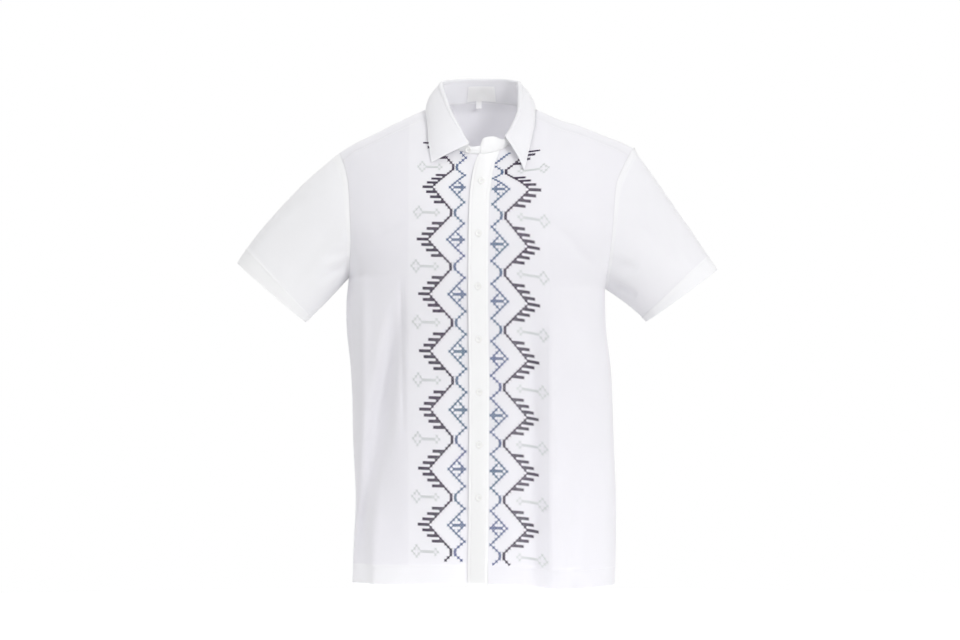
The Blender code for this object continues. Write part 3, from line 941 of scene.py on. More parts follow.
def makeCollar():
    made = cloth(
        "collarStand",
        collar["standColumns"],
        collar["standRows"],
        standAt,
        collar["standFlat"],
        collar["wall"],
        layers=standLayersAndPaintedShade,
    )
    dress(made, "collar_stand", doubledPieces)

    rows = collar["foldRows"] + collar["leafRows"]
    turned = collar["foldRows"] / rows

    def fall(u, v):
        share = mix(*collar["fallEnds"], u)
        if v <= turned:
            return fallPoint(share, v / turned - 1.0)
        return fallPoint(share, (v - turned) / (1.0 - turned))

    made = cloth(
        "collarFall",
        collar["fallColumns"],
        rows,
        fall,
        collar["fallFlat"],
        collar["wall"],
        layers=lambda u, v: collar["fallTone"],
    )
    dress(made, "collar_fall", doubledPieces)


# Neck label and size tab, both left bare
labels = {
    "shares": (-0.065, 0.088),
    "rise": (0.10, 0.80),
    "tabShares": (-0.018, 0.011),
    "tabDrop": 0.0125,
    "wall": 0.0006,
    "clear": 0.0022,
    "loose": 0.0006,
    "looseWaves": 9.0,
    "curl": 0.0020,
    "flat": (0.044, 0.028),
    "tabFlat": (0.0105, 0.0125),
}


def insideStand(share, rise):
    place = standPoint(share, rise)
    return place - outward(place) * labels["clear"]


def makeLabels():
    def label(u, v):
        place = insideStand(mix(*labels["shares"], u), mix(*labels["rise"], v))
        loose = labels["loose"] * math.sin(u * labels["looseWaves"]) * math.sin(v * math.pi)
        return place - outward(place) * loose

    def tab(u, v):
        place = insideStand(mix(*labels["tabShares"], u), labels["rise"][0])
        curl = labels["curl"] * (1 - v) ** 2
        return place - Vector((0.0, 0.0, labels["tabDrop"] * (1 - v))) - outward(place) * curl

    for name, node, shape, flat, columns, rows in (
        ("neckLabel", "label", label, labels["flat"], 40, 26),
        ("sizeTab", "size_tab", tab, labels["tabFlat"], 10, 12),
    ):
        made = cloth(name, columns, rows, shape, flat, labels["wall"])
        dress(made, node, tapePieces)


# Sewing: every stitch is a short arched bar of thread, set on the cloth by its own frame


def threadBar():
    # one stitch, 1 long, 1 wide and 1 high, its ends sunk into the cloth
    bm = bmesh.new()
    bmesh.ops.create_cube(bm, size=1.0)
    lengthwise = [e for e in bm.edges if abs(e.verts[0].co.x - e.verts[1].co.x) > 0.5]
    bmesh.ops.subdivide_edges(bm, edges=lengthwise, cuts=2, use_grid_fill=True)
    for vert in bm.verts:
        end = abs(vert.co.x) > 0.4
        if vert.co.z > 0:
            vert.co.z = 0.45 if end else 0.92
            vert.co.y *= 0.66
        else:
            vert.co.z = -0.55 if end else -0.25
        if end:
            vert.co.y *= 0.95
        else:
            vert.co.x *= 1.45
    bmesh.ops.recalc_face_normals(bm, faces=bm.faces[:])
    mesh = takeMesh(bm, "threadBar")
    coords = np.array([v.co for v in mesh.vertices], float)
    faces = [list(p.vertices) for p in mesh.polygons]
    bpy.data.meshes.remove(mesh)
    return coords, faces


barCoords, barFaces = threadBar()
dice = random.Random(7)


def bar(start, end, normal, width, height):
    # origin, along, across and lift of one stitch
    along = end - start
    across = normal.cross(along).normalized() * width
    return ((start + end) / 2, along, across, normal.normalized() * height, dice.random())


def sew(name, bars, finish):
    # joins the stitches into one piece
    place = np.array([[part[:] for part in b[:4]] for b in bars])
    points = place[:, None, 0] + np.einsum("tk,nkj->ntj", barCoords, place[:, 1:])
    count = len(barCoords)
    faces = [[n * count + i for i in face] for n in range(len(bars)) for face in barFaces]
    mesh = bpy.data.meshes.new(name)
    mesh.from_pydata(points.reshape(-1, 3).tolist(), [], faces)
    shade = mesh.attributes.new("shade", "FLOAT", "POINT")
    shade.data.foreach_set("value", np.repeat([b[4] for b in bars], count).astype(np.float32))
    mesh.shade_smooth()
    mesh.materials.append(finish)
    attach(link(name, mesh), "root")


# The cross-stitched border, as a chart. Rows count down from the first full peak, and
# columns count outwards from the placket. One repeat is 20 rows.
borderRow = namedtuple("borderRow", "row right left startRight startLeft spreadRight spreadLeft")
border = {
    "repeat": 20,
    "column": {-1: 0.00430, 1: 0.00420},
    "narrowing": {-1: 0.0000194, 1: 0.0000070},
    "droop": {-1: -0.0006, 1: 0.0034},
    "droopAt": 0.050,
    "droopFromZ": {-1: -0.05, 1: -0.128},
    "droopSpan": 0.06,
    "droopTop": {-1: 0.0, 1: -0.8},
    "rows": (
        borderRow(-20, -0.0562, -0.0735, 0.0200, 0.0230, 0.94, 0.96),
        borderRow(-10, -0.0961, -0.1040, 0.0226, 0.0215, 0.90, 0.98),
        borderRow(0, -0.1279, -0.1306, 0.0236, 0.0213, 0.90, 1.00),
        borderRow(20, -0.2105, -0.2173, 0.0250, 0.0189, 1.00, 1.00),
        borderRow(40, -0.2960, -0.3064, 0.0228, 0.0192, 1.00, 1.00),
        borderRow(60, -0.3852, -0.3960, 0.0215, 0.0185, 1.00, 1.00),
        borderRow(80, -0.4765, -0.4850, 0.0211, 0.0176, 1.00, 1.00),
        borderRow(100, -0.5692, -0.5720, 0.0230, 0.0178, 1.00, 1.00),
        borderRow(120, -0.6569, -0.6611, 0.0236, 0.0176, 1.00, 1.00),
        borderRow(134, -0.7160, -0.7220, 0.0238, 0.0172, 1.00, 1.00),
    ),
    "firstRow": -26,
    "lastRow": 133,
    "darkPeak": 14,
    "darkReach": 9,
    "spurRows": (0, 2, 4, 6),
    "spurLength": 4,
    "bluePeak": 6,
    "blueMinor": 3.5,
    "blueStep": 1.1,
    "diamondAt": {-1: 19, 1: 20},
    "budAt": 11,
    "crossSize": 1.00,
    "width": {"dark": 0.00185, "blue": 0.00165, "pale": 0.00090},
    "height": 0.00050,
    "overHeight": 0.00080,
    "jitter": 0.15,
    "neckClear": 0.004,
    "placketClear": 0.0015,
}
readBorder = {}
for side in (-1, 1):
    column = sideName(side)
    readBorder[side, "row"] = curve(border["rows"], column)
    readBorder[side, "start"] = curve(border["rows"], "start" + column.capitalize())
    readBorder[side, "spread"] = curve(border["rows"], "spread" + column.capitalize())


def chart(side):
    # the cells of one repeat, by thread
    repeat = border["repeat"]
    valley = repeat // 2
    dark, blue, pale = set(), set(), set()
    for row in range(repeat):
        step = min(row, repeat - row)  # rows from the nearest peak
        column = border["darkPeak"] - min(step, border["darkReach"])
        dark.add((column, row))
        if step in border["spurRows"]:
            dark |= {(column + n, row) for n in range(1, border["spurLength"] + 1)}
        inner = step - border["bluePeak"]
        if inner <= 0:
            blue.add((-inner, row))
        else:
            blue.add((min(inner * border["blueStep"], border["blueMinor"]), row))
        if step <= 2:
            blue.add((step, row))
    blue |= {(column, 0) for column in range(1, 5)}
    far = border["diamondAt"][side]
    bud = border["budAt"]
    for row in range(-2, 3):
        pale |= {(far - 2 + abs(row), valley + row), (far + 2 - abs(row), valley + row)}
    for row in range(-1, 2):
        pale |= {(bud - 1 + abs(row), valley + row), (bud + 1 - abs(row), valley + row)}
    pale |= {(column, valley) for column in range(bud + 2, far - 2)}
    return {"dark": dark, "blue": blue, "pale": pale}


def borderSpot(side, column, row):
    # the distance from the centre plane and the height of a place on the chart
    reach = column * border["column"][side] - column * abs(column) * border["narrowing"][side]
    reach *= readBorder[side, "spread"](row)
    z = readBorder[side, "row"](row)
    below = smooth((border["droopFromZ"][side] - z) / border["droopSpan"] + 0.5)
    hang = mix(border["droopTop"][side], 1.0, below)
    z -= border["droop"][side] * (reach / border["droopAt"]) ** 2 * hang
    return readBorder[side, "start"](row) + reach, z


def cross(side, column, row, width):
    # one cross: two bars over a cell of the cloth, the second on top
    half = border["crossSize"] / 2
    corners = []
    for acrossStep, downStep in ((-half, -half), (half, half), (half, -half), (-half, half)):
        corners.append(frontSurface(side, *borderSpot(side, column + acrossStep, row + downStep)))
    a, b, c, d = corners
    normal = frontward(b - a, c - d)
    seat = normal * (shirtCut["wall"] / 2)
    width *= 1.0 + border["jitter"] * (dice.random() - 0.5)
    return [
        bar(a + seat, b + seat, normal, width, border["height"]),
        bar(d + seat, c + seat, normal, width, border["overHeight"]),
    ]


def makeBorder(finishes):
    for side in (-1, 1):
        for thread, cells in chart(side).items():
            bars = []
            for first in range(-2 * border["repeat"], border["lastRow"], border["repeat"]):
                for column, row in sorted(cells):
                    place = first + row
                    if not border["firstRow"] <= place <= border["lastRow"]:
                        continue
                    x, z = borderSpot(side, column, place)
                    if z > frontTop(side, x) - border["neckClear"]:
                        continue
                    if side > 0 and x < placketLeft(z) + placket["width"] + border["placketClear"]:
                        continue
                    fromTop = abs(place + border["repeat"])
                    if side > 0 and fromTop <= 2 and column < border["bluePeak"] - fromTop:
                        continue  # the figure inside the top chevron is left out on this front
                    bars += cross(side, column, place, border["width"][thread])
            sew("crossStitch_" + thread + "_" + sideName(side), bars, finishes[thread])


# Topstitching
topstitch = {
    "length": 0.0026,
    "pitch": 0.0032,
    "width": 0.00045,
    "height": 0.00028,
    "hemLine": 0.0285,
    "hemSpan": (0.01, 0.99),
    "shoulderLine": 0.994,
    "shoulderSpan": (0.40, 0.995),
    "yokeLine": 0.985,
    "yokeSpan": (0.26, 0.74),
    "cuffLine": 0.895,
    "armholeLine": 0.040,
    "placketIn": 0.0045,
    "placketEnds": (0.003, -0.002),
    "leafIn": 0.0055,
    "leafDepth": 0.055,
    "fallLength": 0.34,
    "rollGap": 0.06,
    "standLine": 0.10,
    "standSpan": (0.02, 0.98),
    "standEndLine": 0.12,
    "standEndSpan": (0.86, 0.99),
}


def acrossAt(v, span=(0.0, 1.0)):
    # a path over a piece at one v, from one u to another
    return lambda t: (mix(*span, t), v)


def alongAt(u, span=(0.0, 1.0)):
    # a path over a piece at one u, from one v to another
    return lambda t: (u, mix(*span, t))


def normalOf(point, centre):
    # the outward normal of a surface at (u, v), away from a centre
    near = 0.002

    def normal(u, v):
        here = point(u, v)
        acrossU = point(min(u + near, 1.0), v) - point(max(u - near, 0.0), v)
        acrossV = point(u, min(v + near, 1.0)) - point(u, max(v - near, 0.0))
        way = acrossU.cross(acrossV).normalized()
        return way if way.dot(here - centre(here)) > 0 else -way

    return normal


def seamOn(point, centre, path, wall, steps=160, inside=False):
    # stitches along a path over a piece: path(t) gives (u, v)
    places = [path(n / steps) for n in range(steps + 1)]
    route = [point(u, v) for u, v in places]
    normal = normalOf(point, centre)
    normals = [normal(u, v) for u, v in places]
    total = [0.0]
    for here, after in zip(route, route[1:]):
        total.append(total[-1] + (after - here).length)
    bars = []
    distance = topstitch["pitch"] / 2
    while distance + topstitch["length"] < total[-1]:
        ends = []
        for reach in (distance, distance + topstitch["length"]):
            i = int(clamp(bisect_left(total, reach), 1, len(total) - 1))
            span = max(total[i] - total[i - 1], 1e-9)
            share = clamp((reach - total[i - 1]) / span)
            ends.append(route[i - 1].lerp(route[i], share))
            way = normals[i - 1].lerp(normals[i], share)
        if inside:
            way = -way
        seat = way * wall / 2
        bars.append(bar(ends[0] + seat, ends[1] + seat, way, topstitch["width"], topstitch["height"]))
        distance += topstitch["pitch"]
    return bars


def bodyCentre(place):
    return Vector((place.x * 0.6, 0.0, place.z))


def chestCentre(place):
    return Vector((place.x * 0.85, 0.0, place.z - 0.10))


def neckCentre(place):
    return Vector((0.0, collar["centreY"], place.z))


def sleeveCentre(side):
    start, centre = sleeveMiddles(side)
    axis = (centre - start).normalized()
    return lambda place: start + axis * (place - start).dot(axis)


def makeTopstitching(finish):
    wall = shirtCut["wall"]
    rows = fronts["bodyRows"] + fronts["chestRows"]
    hemV = fronts["bandRows"] / rows * topstitch["hemLine"] / shirtCut["hemBand"]
    hemSpan = topstitch["hemSpan"]
    shoulderSeam = acrossAt(topstitch["shoulderLine"], topstitch["shoulderSpan"])
    yokeSeam = acrossAt(topstitch["yokeLine"], topstitch["yokeSpan"])
    bars = []
    for side in (-1, 1):
        point = frontPoint(side)
        bars += seamOn(point, bodyCentre, acrossAt(hemV, hemSpan), wall)
        bars += seamOn(point, chestCentre, shoulderSeam, wall)
    backV = hemV * rows / (back["bodyRows"] + back["chestRows"])
    bars += seamOn(backPoint, bodyCentre, acrossAt(backV, hemSpan), wall, steps=300)
    bars += seamOn(yokePoint, chestCentre, yokeSeam, wall, steps=200)
    sew("hemStitching", bars, finish)
    bars = []
    for side in (-1, 1):
        point = sleevePoint(side)
        centre = sleeveCentre(side)
        for line in (topstitch["cuffLine"], topstitch["armholeLine"]):
            bars += seamOn(point, centre, acrossAt(line), wall, steps=260)
    sew("sleeveStitching", bars, finish)
    bars = []
    low = hemZ(0.0) - placket["hang"]
    inset = topstitch["placketIn"] / placket["width"]
    lowIn, topIn = topstitch["placketEnds"]

    def band(u, v):
        return placketPoint(u, mix(low + lowIn, placketTop(u) + topIn, v))

    for across in (inset, 1.0 - inset):
        bars += seamOn(band, bodyCentre, alongAt(across), placket["wall"], steps=260)

    def leaf(u, v):
        return fallPoint(mix(*collar["fallEnds"], u), v)

    inEdge = 1.0 - topstitch["leafIn"] / topstitch["leafDepth"]
    inEnd = topstitch["leafIn"] / topstitch["fallLength"]
    wall = collar["wall"]
    bars += seamOn(leaf, neckCentre, acrossAt(inEdge, (inEnd, 1.0 - inEnd)), wall, steps=300)
    for end in (inEnd, 1.0 - inEnd):
        leafEnd = alongAt(end, (topstitch["rollGap"], inEdge))
        bars += seamOn(leaf, neckCentre, leafEnd, wall, steps=80)
    inner = acrossAt(topstitch["standLine"], topstitch["standSpan"])
    bars += seamOn(standAt, neckCentre, inner, wall, inside=True)
    outer = acrossAt(topstitch["standEndLine"], topstitch["standEndSpan"])
    bars += seamOn(standAt, neckCentre, outer, wall, steps=60)
    sew("collarStitching", bars, finish)


# Buttons: turned, with a raised rim, four holes and their thread
buttons = {
    "radius": 0.0052,
    "thick": 0.0018,
    "seat": 0.0003,
    "span": 0.004,
    "topZ": -0.118,
    "spacing": 0.0826,
    "count": 7,
    "neckShare": -0.915,
    "segments": 32,
    "hole": 0.00062,
    "holeOut": 0.00125,
    "profile": (
        (0.0, 0.38),
        (0.46, 0.38),
        (0.60, 0.62),
        (0.74, 0.96),
        (0.86, 1.00),
        (0.97, 0.78),
        (1.00, 0.50),
        (0.92, 0.12),
        (0.70, 0.0),
        (0.0, 0.0),
    ),
    "threadLift": 0.36,
    "threadSlip": 0.00022,
    "threadWidth": 0.0004,
}
buttonhole = {
    "length": 0.0125,
    "width": 0.0016,
    "slit": 0.00015,
    "stitches": 22,
    "stitchWidth": 0.00050,
    "stitchHeight": 0.00030,
    "tackWidth": 0.0006,
    "tackHeight": 0.0004,
}


def buttonMesh():
    # the turned body, from its profile, with four thread holes cut through
    bm = bmesh.new()
    radius, thick = buttons["radius"], buttons["thick"]
    line = [bm.verts.new((r * radius, 0.0, h * thick)) for r, h in buttons["profile"]]
    edges = [bm.edges.new(pair) for pair in zip(line, line[1:])]
    bmesh.ops.spin(
        bm,
        geom=line + edges,
        cent=(0, 0, 0),
        axis=(0, 0, 1),
        angle=2 * math.pi,
        steps=buttons["segments"],
        use_merge=True,
    )
    closeUp(bm)
    bmesh.ops.recalc_face_normals(bm, faces=bm.faces[:])
    blank = link("buttonBlank", takeMesh(bm, "buttonBody"))
    bm = bmesh.new()
    for n in range(4):
        angle = math.pi / 4 + n * math.pi / 2
        made = bmesh.ops.create_cone(
            bm,
            cap_ends=True,
            segments=12,
            radius1=buttons["hole"],
            radius2=buttons["hole"],
            depth=thick * 3,
        )
        move = Vector((math.cos(angle), math.sin(angle), 0.0)) * buttons["holeOut"]
        bmesh.ops.translate(bm, verts=made["verts"], vec=move)
    cutter = link("buttonCutter", takeMesh(bm, "buttonDrill"))
    cut = blank.modifiers.new("holes", "BOOLEAN")
    cut.object = cutter
    cut.operation = "DIFFERENCE"
    drilled = bpy.data.meshes.new_from_object(
        blank.evaluated_get(bpy.context.evaluated_depsgraph_get())
    )
    bpy.data.objects.remove(blank)
    bpy.data.objects.remove(cutter)
    drilled.shade_smooth()
    drilled.set_sharp_from_angle(angle=math.radians(50))
    return drilled


def setButton(name, place, mesh, finish, threads):
    centre, along, across, wall = place
    facing = frontward(along, across)
    seat = centre + facing * (wall / 2 + buttons["seat"])
    turn = facing.to_track_quat("Z", "Y").to_matrix().to_4x4()
    turn.translation = seat
    shape = mesh.copy()
    shape.transform(turn)
    shape.materials.clear()
    shape.materials.append(finish)
    made = link("shirtButton_" + name, shape)
    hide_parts("button_" + name)
    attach(made, "root")
    right, up = turn.col[0].xyz, turn.col[1].xyz
    lift = facing * buttons["thick"] * buttons["threadLift"]
    thread = buttons["threadWidth"]
    hole = buttons["holeOut"] * math.sqrt(0.5)
    for n in (-1, 1):
        for slip in (-buttons["threadSlip"], buttons["threadSlip"]):
            start = seat + lift + up * hole * n + right * -hole + up * slip
            end = seat + lift + up * hole * n + right * hole + up * slip
            threads.append(bar(start, end, facing, thread, thread))


def buttonholeBars(centre, along, across):
    # two rows of close stitches and a bar tack at each end
    facing = frontward(along, across)
    up, right = along.normalized(), across.normalized()
    seat = centre + facing * placket["wall"] / 2
    half = buttonhole["length"] / 2
    bars = []
    for n in range(buttonhole["stitches"]):
        height = mix(-half, half, n / (buttonhole["stitches"] - 1))
        for way in (-1, 1):
            inner = seat + up * height + right * way * buttonhole["slit"]
            outer = inner + right * way * buttonhole["width"] * 0.5
            bars.append(bar(inner, outer, facing, buttonhole["stitchWidth"], buttonhole["stitchHeight"]))
    for height in (-half, half):
        start = seat + up * height - right * buttonhole["width"] * 0.6
        end = seat + up * height + right * buttonhole["width"] * 0.6
        bars.append(bar(start, end, facing, buttonhole["tackWidth"], buttonhole["tackHeight"]))
    return bars


def makeButtons(finish, thread):
    mesh = buttonMesh()
    threads, holes = [], []
    for index in range(buttons["count"]):
        z = buttons["topZ"] - index * buttons["spacing"]
        centre = placketPoint(0.5, z)
        along = placketPoint(0.5, z + buttons["span"]) - placketPoint(0.5, z - buttons["span"])
        across = placketPoint(0.9, z) - placketPoint(0.1, z)
        place = (centre, along, across, placket["wall"])
        setButton(str(index + 1), place, mesh, finish, threads)
        holes += buttonholeBars(centre, along, across)
    share = buttons["neckShare"]
    centre = standPoint(share, 0.5)
    along = standPoint(share, 1.0) - standPoint(share, 0.0)
    across = standPoint(share + buttons["span"], 0.5) - centre
    setButton("neck", (centre, along, across, collar["wall"]), mesh, finish, threads)
    sew("buttonThreads", threads, thread)
    sew("buttonholes", holes, thread)


# Finishes


def nodeGroup(name, inputs, outputs):
    group = bpy.data.node_groups.new(name, "ShaderNodeTree")
    for label, kind, value in inputs:
        socket = group.interface.new_socket(name=label, in_out="INPUT", socket_type=kind)
        if value is not None:
            socket.default_value = value
    for label, kind in outputs:
        group.interface.new_socket(name=label, in_out="OUTPUT", socket_type=kind)
    start = group.nodes.new("NodeGroupInput")
    end = group.nodes.new("NodeGroupOutput")
    return group, start.outputs, end.inputs


def maths(tree, kind, a, b=None, c=None):
    node = tree.nodes.new("ShaderNodeMath")
    node.operation = kind
    for slot, value in enumerate((a, b, c)):
        if value is None:
            continue
        if isinstance(value, (int, float)):
            node.inputs[slot].default_value = value
        else:
            tree.links.new(value, node.inputs[slot])
    return node.outputs[0]


def speckle(tree, vector, scale, detail=2.0):
    node = tree.nodes.new("ShaderNodeTexNoise")
    node.inputs["Scale"].default_value = scale
    node.inputs["Detail"].default_value = detail
    tree.links.new(vector, node.inputs["Vector"])
    return node.outputs["Fac"]


def stretchVector(tree, vector, scale):
    node = tree.nodes.new("ShaderNodeMapping")
    node.inputs["Scale"].default_value = scale
    tree.links.new(vector, node.inputs["Vector"])
    return node.outputs["Vector"]


def blendColour(tree, share, a, b):
    node = tree.nodes.new("ShaderNodeMix")
    node.data_type = "RGBA"
    for slot, value in (("Factor", share), ("A", a), ("B", b)):
        socket = next(s for s in node.inputs if s.name == slot and s.enabled)
        if isinstance(value, (tuple, float, int)):
            socket.default_value = value
        else:
            tree.links.new(value, socket)
    return next(s for s in node.outputs if s.enabled)


weaveLook = {
    "weft": (26.0, 900.0, 1.0),
    "warp": (900.0, 22.0, 1.0),
    "overShare": 0.25,
    "slubShare": 1.4,
    "cloudScale": 14.0,
    "driftScale": 16.0,
}


def linenWeave():
    # plain weave of uneven yarns: Height for the bump, Slub and Cloud for the tone
    group, start, end = nodeGroup(
        "linenWeave",
        [("Vector", "NodeSocketVector", None), ("Yarns", "NodeSocketFloat", 1700.0)],
        [("Height", "NodeSocketFloat"), ("Slub", "NodeSocketFloat"), ("Cloud", "NodeSocketFloat")],
    )
    split = group.nodes.new("ShaderNodeSeparateXYZ")
    group.links.new(start["Vector"], split.inputs[0])
    waves = []
    for axis in (0, 1):
        turns = maths(group, "MULTIPLY", split.outputs[axis], start["Yarns"])
        waves.append(maths(group, "SINE", maths(group, "MULTIPLY", turns, 2 * math.pi)))
    over = maths(group, "MULTIPLY", waves[0], waves[1])
    weft = speckle(group, stretchVector(group, start["Vector"], weaveLook["weft"]), 1.0, 3.0)
    warp = speckle(group, stretchVector(group, start["Vector"], weaveLook["warp"]), 1.0, 3.0)
    slub = maths(group, "MULTIPLY", maths(group, "ADD", weft, warp), 0.5)
    relief = maths(group, "MULTIPLY", slub, weaveLook["slubShare"])
    height = maths(group, "MULTIPLY_ADD", over, weaveLook["overShare"], relief)
    group.links.new(height, end["Height"])
    group.links.new(slub, end["Slub"])
    group.links.new(speckle(group, start["Vector"], weaveLook["cloudScale"], 3.0), end["Cloud"])
    return group


def threadTwist():
    # twisted cotton: fine ridges and a little unevenness from stitch to stitch
    group, start, end = nodeGroup(
        "threadTwist",
        [("Vector", "NodeSocketVector", None), ("Twist", "NodeSocketFloat", 2600.0)],
        [("Height", "NodeSocketFloat"), ("Drift", "NodeSocketFloat")],
    )
    split = group.nodes.new("ShaderNodeSeparateXYZ")
    group.links.new(start["Vector"], split.inputs[0])
    slant = maths(group, "ADD", split.outputs[0], split.outputs[2])
    ridge = maths(group, "SINE", maths(group, "MULTIPLY", slant, start["Twist"]))
    group.links.new(ridge, end["Height"])
    group.links.new(speckle(group, start["Vector"], weaveLook["driftScale"], 2.0), end["Drift"])
    return group


weaveGroup = linenWeave()
twistGroup = threadTwist()


def useGroup(tree, group, vector, **values):
    node = tree.nodes.new("ShaderNodeGroup")
    node.node_tree = group
    tree.links.new(vector, node.inputs["Vector"])
    for label, value in values.items():
        node.inputs[label].default_value = value
    return node.outputs


def startFinish(name, roughness, sheen):
    made = bpy.data.materials.new(name)
    made.use_nodes = True
    shader = made.node_tree.nodes["Principled BSDF"]
    shader.inputs["Roughness"].default_value = roughness
    shader.inputs["Sheen Weight"].default_value = sheen
    shader.inputs["Sheen Roughness"].default_value = 0.5
    shader.inputs["Specular IOR Level"].default_value = 0.25
    return made, made.node_tree, shader


def bump(tree, shader, height, strength, distance):
    node = tree.nodes.new("ShaderNodeBump")
    node.inputs["Strength"].default_value = strength
    node.inputs["Distance"].default_value = distance
    tree.links.new(height, node.inputs["Height"])
    tree.links.new(node.outputs["Normal"], shader.inputs["Normal"])


linenLook = {
    "single": (0.820, 0.812, 0.850, 1.0),
    "singleShade": (0.790, 0.782, 0.822, 1.0),
    "doubled": (0.978, 0.985, 0.996, 1.0),
    "yarns": 1700.0,
    "bump": 0.35,
    "bumpSize": 0.00022,
    "glow": 0.8,
    "glowDepth": 0.0020,
}
tapeLook = {
    **linenLook,
    "single": (0.99, 0.98, 0.99, 1.0),
    "singleShade": (0.97, 0.96, 0.97, 1.0),
    "doubled": (0.99, 0.98, 0.99, 1.0),
    "yarns": 2800.0,
}
threadLook = {
    "white": ((0.91, 0.91, 0.92, 1.0), (0.87, 0.87, 0.89, 1.0), (0.93, 0.93, 0.94, 1.0)),
    "violet": ((0.040, 0.018, 0.055, 1.0), (0.075, 0.035, 0.095, 1.0), (0.030, 0.020, 0.050, 1.0)),
    "blue": ((0.080, 0.155, 0.270, 1.0), (0.070, 0.190, 0.250, 1.0), (0.095, 0.120, 0.300, 1.0)),
    "pale": ((0.66, 0.70, 0.68, 1.0), (0.71, 0.735, 0.73, 1.0), (0.63, 0.67, 0.67, 1.0)),
}


def linenFinish(name, look):
    made, tree, shader = startFinish(name, 0.88, 0.20)
    uv = tree.nodes.new("ShaderNodeUVMap")
    uv.uv_map = "weave"
    weave = useGroup(tree, weaveGroup, uv.outputs["UV"], Yarns=look["yarns"])
    layers = tree.nodes.new("ShaderNodeAttribute")
    layers.attribute_name = "layers"
    drift = maths(tree, "MULTIPLY_ADD", weave["Cloud"], 0.7, maths(tree, "MULTIPLY", weave["Slub"], 0.5))
    base = blendColour(tree, drift, look["single"], look["singleShade"])
    colour = blendColour(tree, layers.outputs["Fac"], base, look["doubled"])
    tree.links.new(colour, shader.inputs["Base Color"])
    rough = maths(tree, "MULTIPLY_ADD", weave["Slub"], 0.12, 0.80)
    tree.links.new(rough, shader.inputs["Roughness"])
    shader.inputs["Subsurface Weight"].default_value = look["glow"]
    shader.inputs["Subsurface Radius"].default_value = (1.0, 1.0, 1.0)
    shader.inputs["Subsurface Scale"].default_value = look["glowDepth"]
    bump(tree, shader, weave["Height"], look["bump"], look["bumpSize"])
    return made


def threadFinish(dye):
    main, other, third = threadLook[dye]
    made, tree, shader = startFinish(dye + "Thread", 0.75, 0.0)
    place = tree.nodes.new("ShaderNodeTexCoord")
    twist = useGroup(tree, twistGroup, place.outputs["Object"])
    shade = tree.nodes.new("ShaderNodeAttribute")
    shade.attribute_name = "shade"
    broad = maths(tree, "MULTIPLY_ADD", maths(tree, "SUBTRACT", twist["Drift"], 0.5), 2.6, 0.5)
    colour = blendColour(tree, maths(tree, "MULTIPLY", shade.outputs["Fac"], 0.55), main, other)
    colour = blendColour(tree, maths(tree, "MINIMUM", maths(tree, "MAXIMUM", broad, 0.0), 1.0), colour, third)
    tree.links.new(colour, shader.inputs["Base Color"])
    bump(tree, shader, twist["Height"], 0.4, 0.00006)
    return made


buttonLook = {"shell": (0.90, 0.90, 0.89, 1.0), "shellLight": (0.95, 0.95, 0.94, 1.0), "coat": 0.4}


def buttonFinish():
    made, tree, shader = startFinish("buttonShell", 0.28, 0.0)
    place = tree.nodes.new("ShaderNodeTexCoord")
    cloud = speckle(tree, place.outputs["Object"], 260.0, 3.0)
    colour = blendColour(tree, cloud, buttonLook["shell"], buttonLook["shellLight"])
    tree.links.new(colour, shader.inputs["Base Color"])
    shader.inputs["Coat Weight"].default_value = buttonLook["coat"]
    shader.inputs["Coat Roughness"].default_value = 0.15
    bump(tree, shader, speckle(tree, place.outputs["Object"], 900.0, 2.0), 0.08, 0.0001)
    return made


# Making it all
clothPieces, doubledPieces, tapePieces = [], [], []
makeFronts()
print("fronts cut")
makePlacket()
makeBack()
makeYoke()
print("back and yoke cut")
makeSleeves()
print("sleeves set in")
makeCollar()
makeLabels()
print("collar folded and labels placed")

for pieces, name, look in (
    (clothPieces, "linen", linenLook),
    (doubledPieces, "doubledLinen", linenLook),
    (tapePieces, "labelTape", tapeLook),
):
    finish = linenFinish(name, look)
    for piece in pieces:
        piece.data.materials.append(finish)
        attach(piece, "root")

whiteThread = threadFinish("white")
makeBorder({"dark": threadFinish("violet"), "blue": threadFinish("blue"), "pale": threadFinish("pale")})
print("border stitched")
makeTopstitching(whiteThread)
print("seams topstitched")
makeButtons(buttonFinish(), whiteThread)
print("buttons sewn on")

# Floor, light and camera
stageLook = {
    "floorZ": -1.15,
    "floorRadius": 5.0,
    "floor": (0.90, 0.90, 0.90, 1.0),
    "floorLight": (0.92, 0.92, 0.92, 1.0),
    "floorGlow": 0.6,
    "world": 0.665,
}


def stageFinish():
    made, tree, shader = startFinish("paleFloor", 0.9, 0.0)
    place = tree.nodes.new("ShaderNodeTexCoord")
    cloud = speckle(tree, place.outputs["Object"], 2.0, 2.0)
    colour = blendColour(tree, cloud, stageLook["floor"], stageLook["floorLight"])
    tree.links.new(colour, shader.inputs["Base Color"])
    # the glow is for the camera alone, so that the floor meets the white behind it
    path = tree.nodes.new("ShaderNodeLightPath")
    glow = maths(tree, "MULTIPLY", path.outputs["Is Camera Ray"], stageLook["floorGlow"])
    shader.inputs["Emission Color"].default_value = (1.0, 1.0, 1.0, 1.0)
    tree.links.new(glow, shader.inputs["Emission Strength"])
    return made


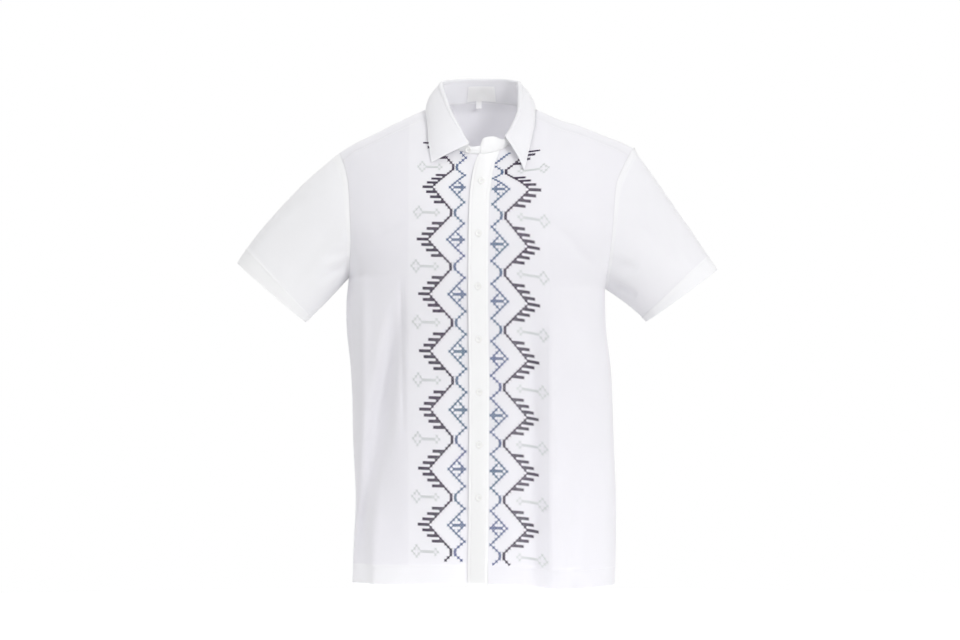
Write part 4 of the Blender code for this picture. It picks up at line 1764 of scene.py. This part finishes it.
bm = bmesh.new()
bmesh.ops.create_circle(bm, cap_ends=True, segments=96, radius=stageLook["floorRadius"])
bmesh.ops.translate(bm, verts=bm.verts[:], vec=(0.0, 0.0, stageLook["floorZ"]))
floor = link("floor", takeMesh(bm, "floor"))
floor.data.materials.append(stageFinish())
floor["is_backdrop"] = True

world = bpy.data.worlds.new("studio")
world.use_nodes = True
bpy.context.scene.world = world
tree = world.node_tree
tree.nodes.clear()
output = tree.nodes.new("ShaderNodeOutputWorld")
blend = tree.nodes.new("ShaderNodeMixShader")
path = tree.nodes.new("ShaderNodeLightPath")
for slot, strength in ((1, stageLook["world"]), (2, 1.0)):
    background = tree.nodes.new("ShaderNodeBackground")
    background.inputs["Color"].default_value = (1.0, 1.0, 1.0, 1.0)
    background.inputs["Strength"].default_value = strength
    tree.links.new(background.outputs[0], blend.inputs[slot])
tree.links.new(path.outputs["Is Camera Ray"], blend.inputs[0])
tree.links.new(blend.outputs[0], output.inputs["Surface"])

lamp = namedtuple("lamp", "name place size power")
lamps = (
    lamp("keySoftbox", (2.3, -4.0, 1.3), 1.2, 76.0),
    lamp("topSoftbox", (-1.0, -1.2, 3.2), 1.0, 14.0),
    lamp("hemSoftbox", (0.0, 0.0, -1.12), 0.36, 3.2),
    lamp("backSoftbox", (-1.0, 2.6, 2.6), 1.6, 24.0),
)
target = Vector((0.0, 0.0, -0.35))
for item in lamps:
    data = bpy.data.lights.new(item.name, "AREA")
    data.shape = "DISK"
    data.size = item.size
    data.energy = item.power
    light = link(item.name, data)
    light.location = item.place
    light.rotation_euler = (target - Vector(item.place)).to_track_quat("-Z", "Y").to_euler()

view = {"x": 0.0008, "z": -0.336, "distance": 5.6, "width": 1.536, "sensor": 36.0}
cameraData = bpy.data.cameras.new("camera")
cameraData.sensor_width = view["sensor"]
cameraData.lens = view["sensor"] * view["distance"] / view["width"]
camera = link("camera", cameraData)
camera.location = (view["x"], -view["distance"], view["z"])
camera.rotation_euler = (math.radians(90), 0.0, 0.0)
bpy.context.scene.camera = camera
bpy.context.scene.view_settings.view_transform = "Standard"

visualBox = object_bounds()
boxes = {"cad": cadBox, "visual": visualBox}
{name: [list(corner) for corner in box] for name, box in boxes.items()}
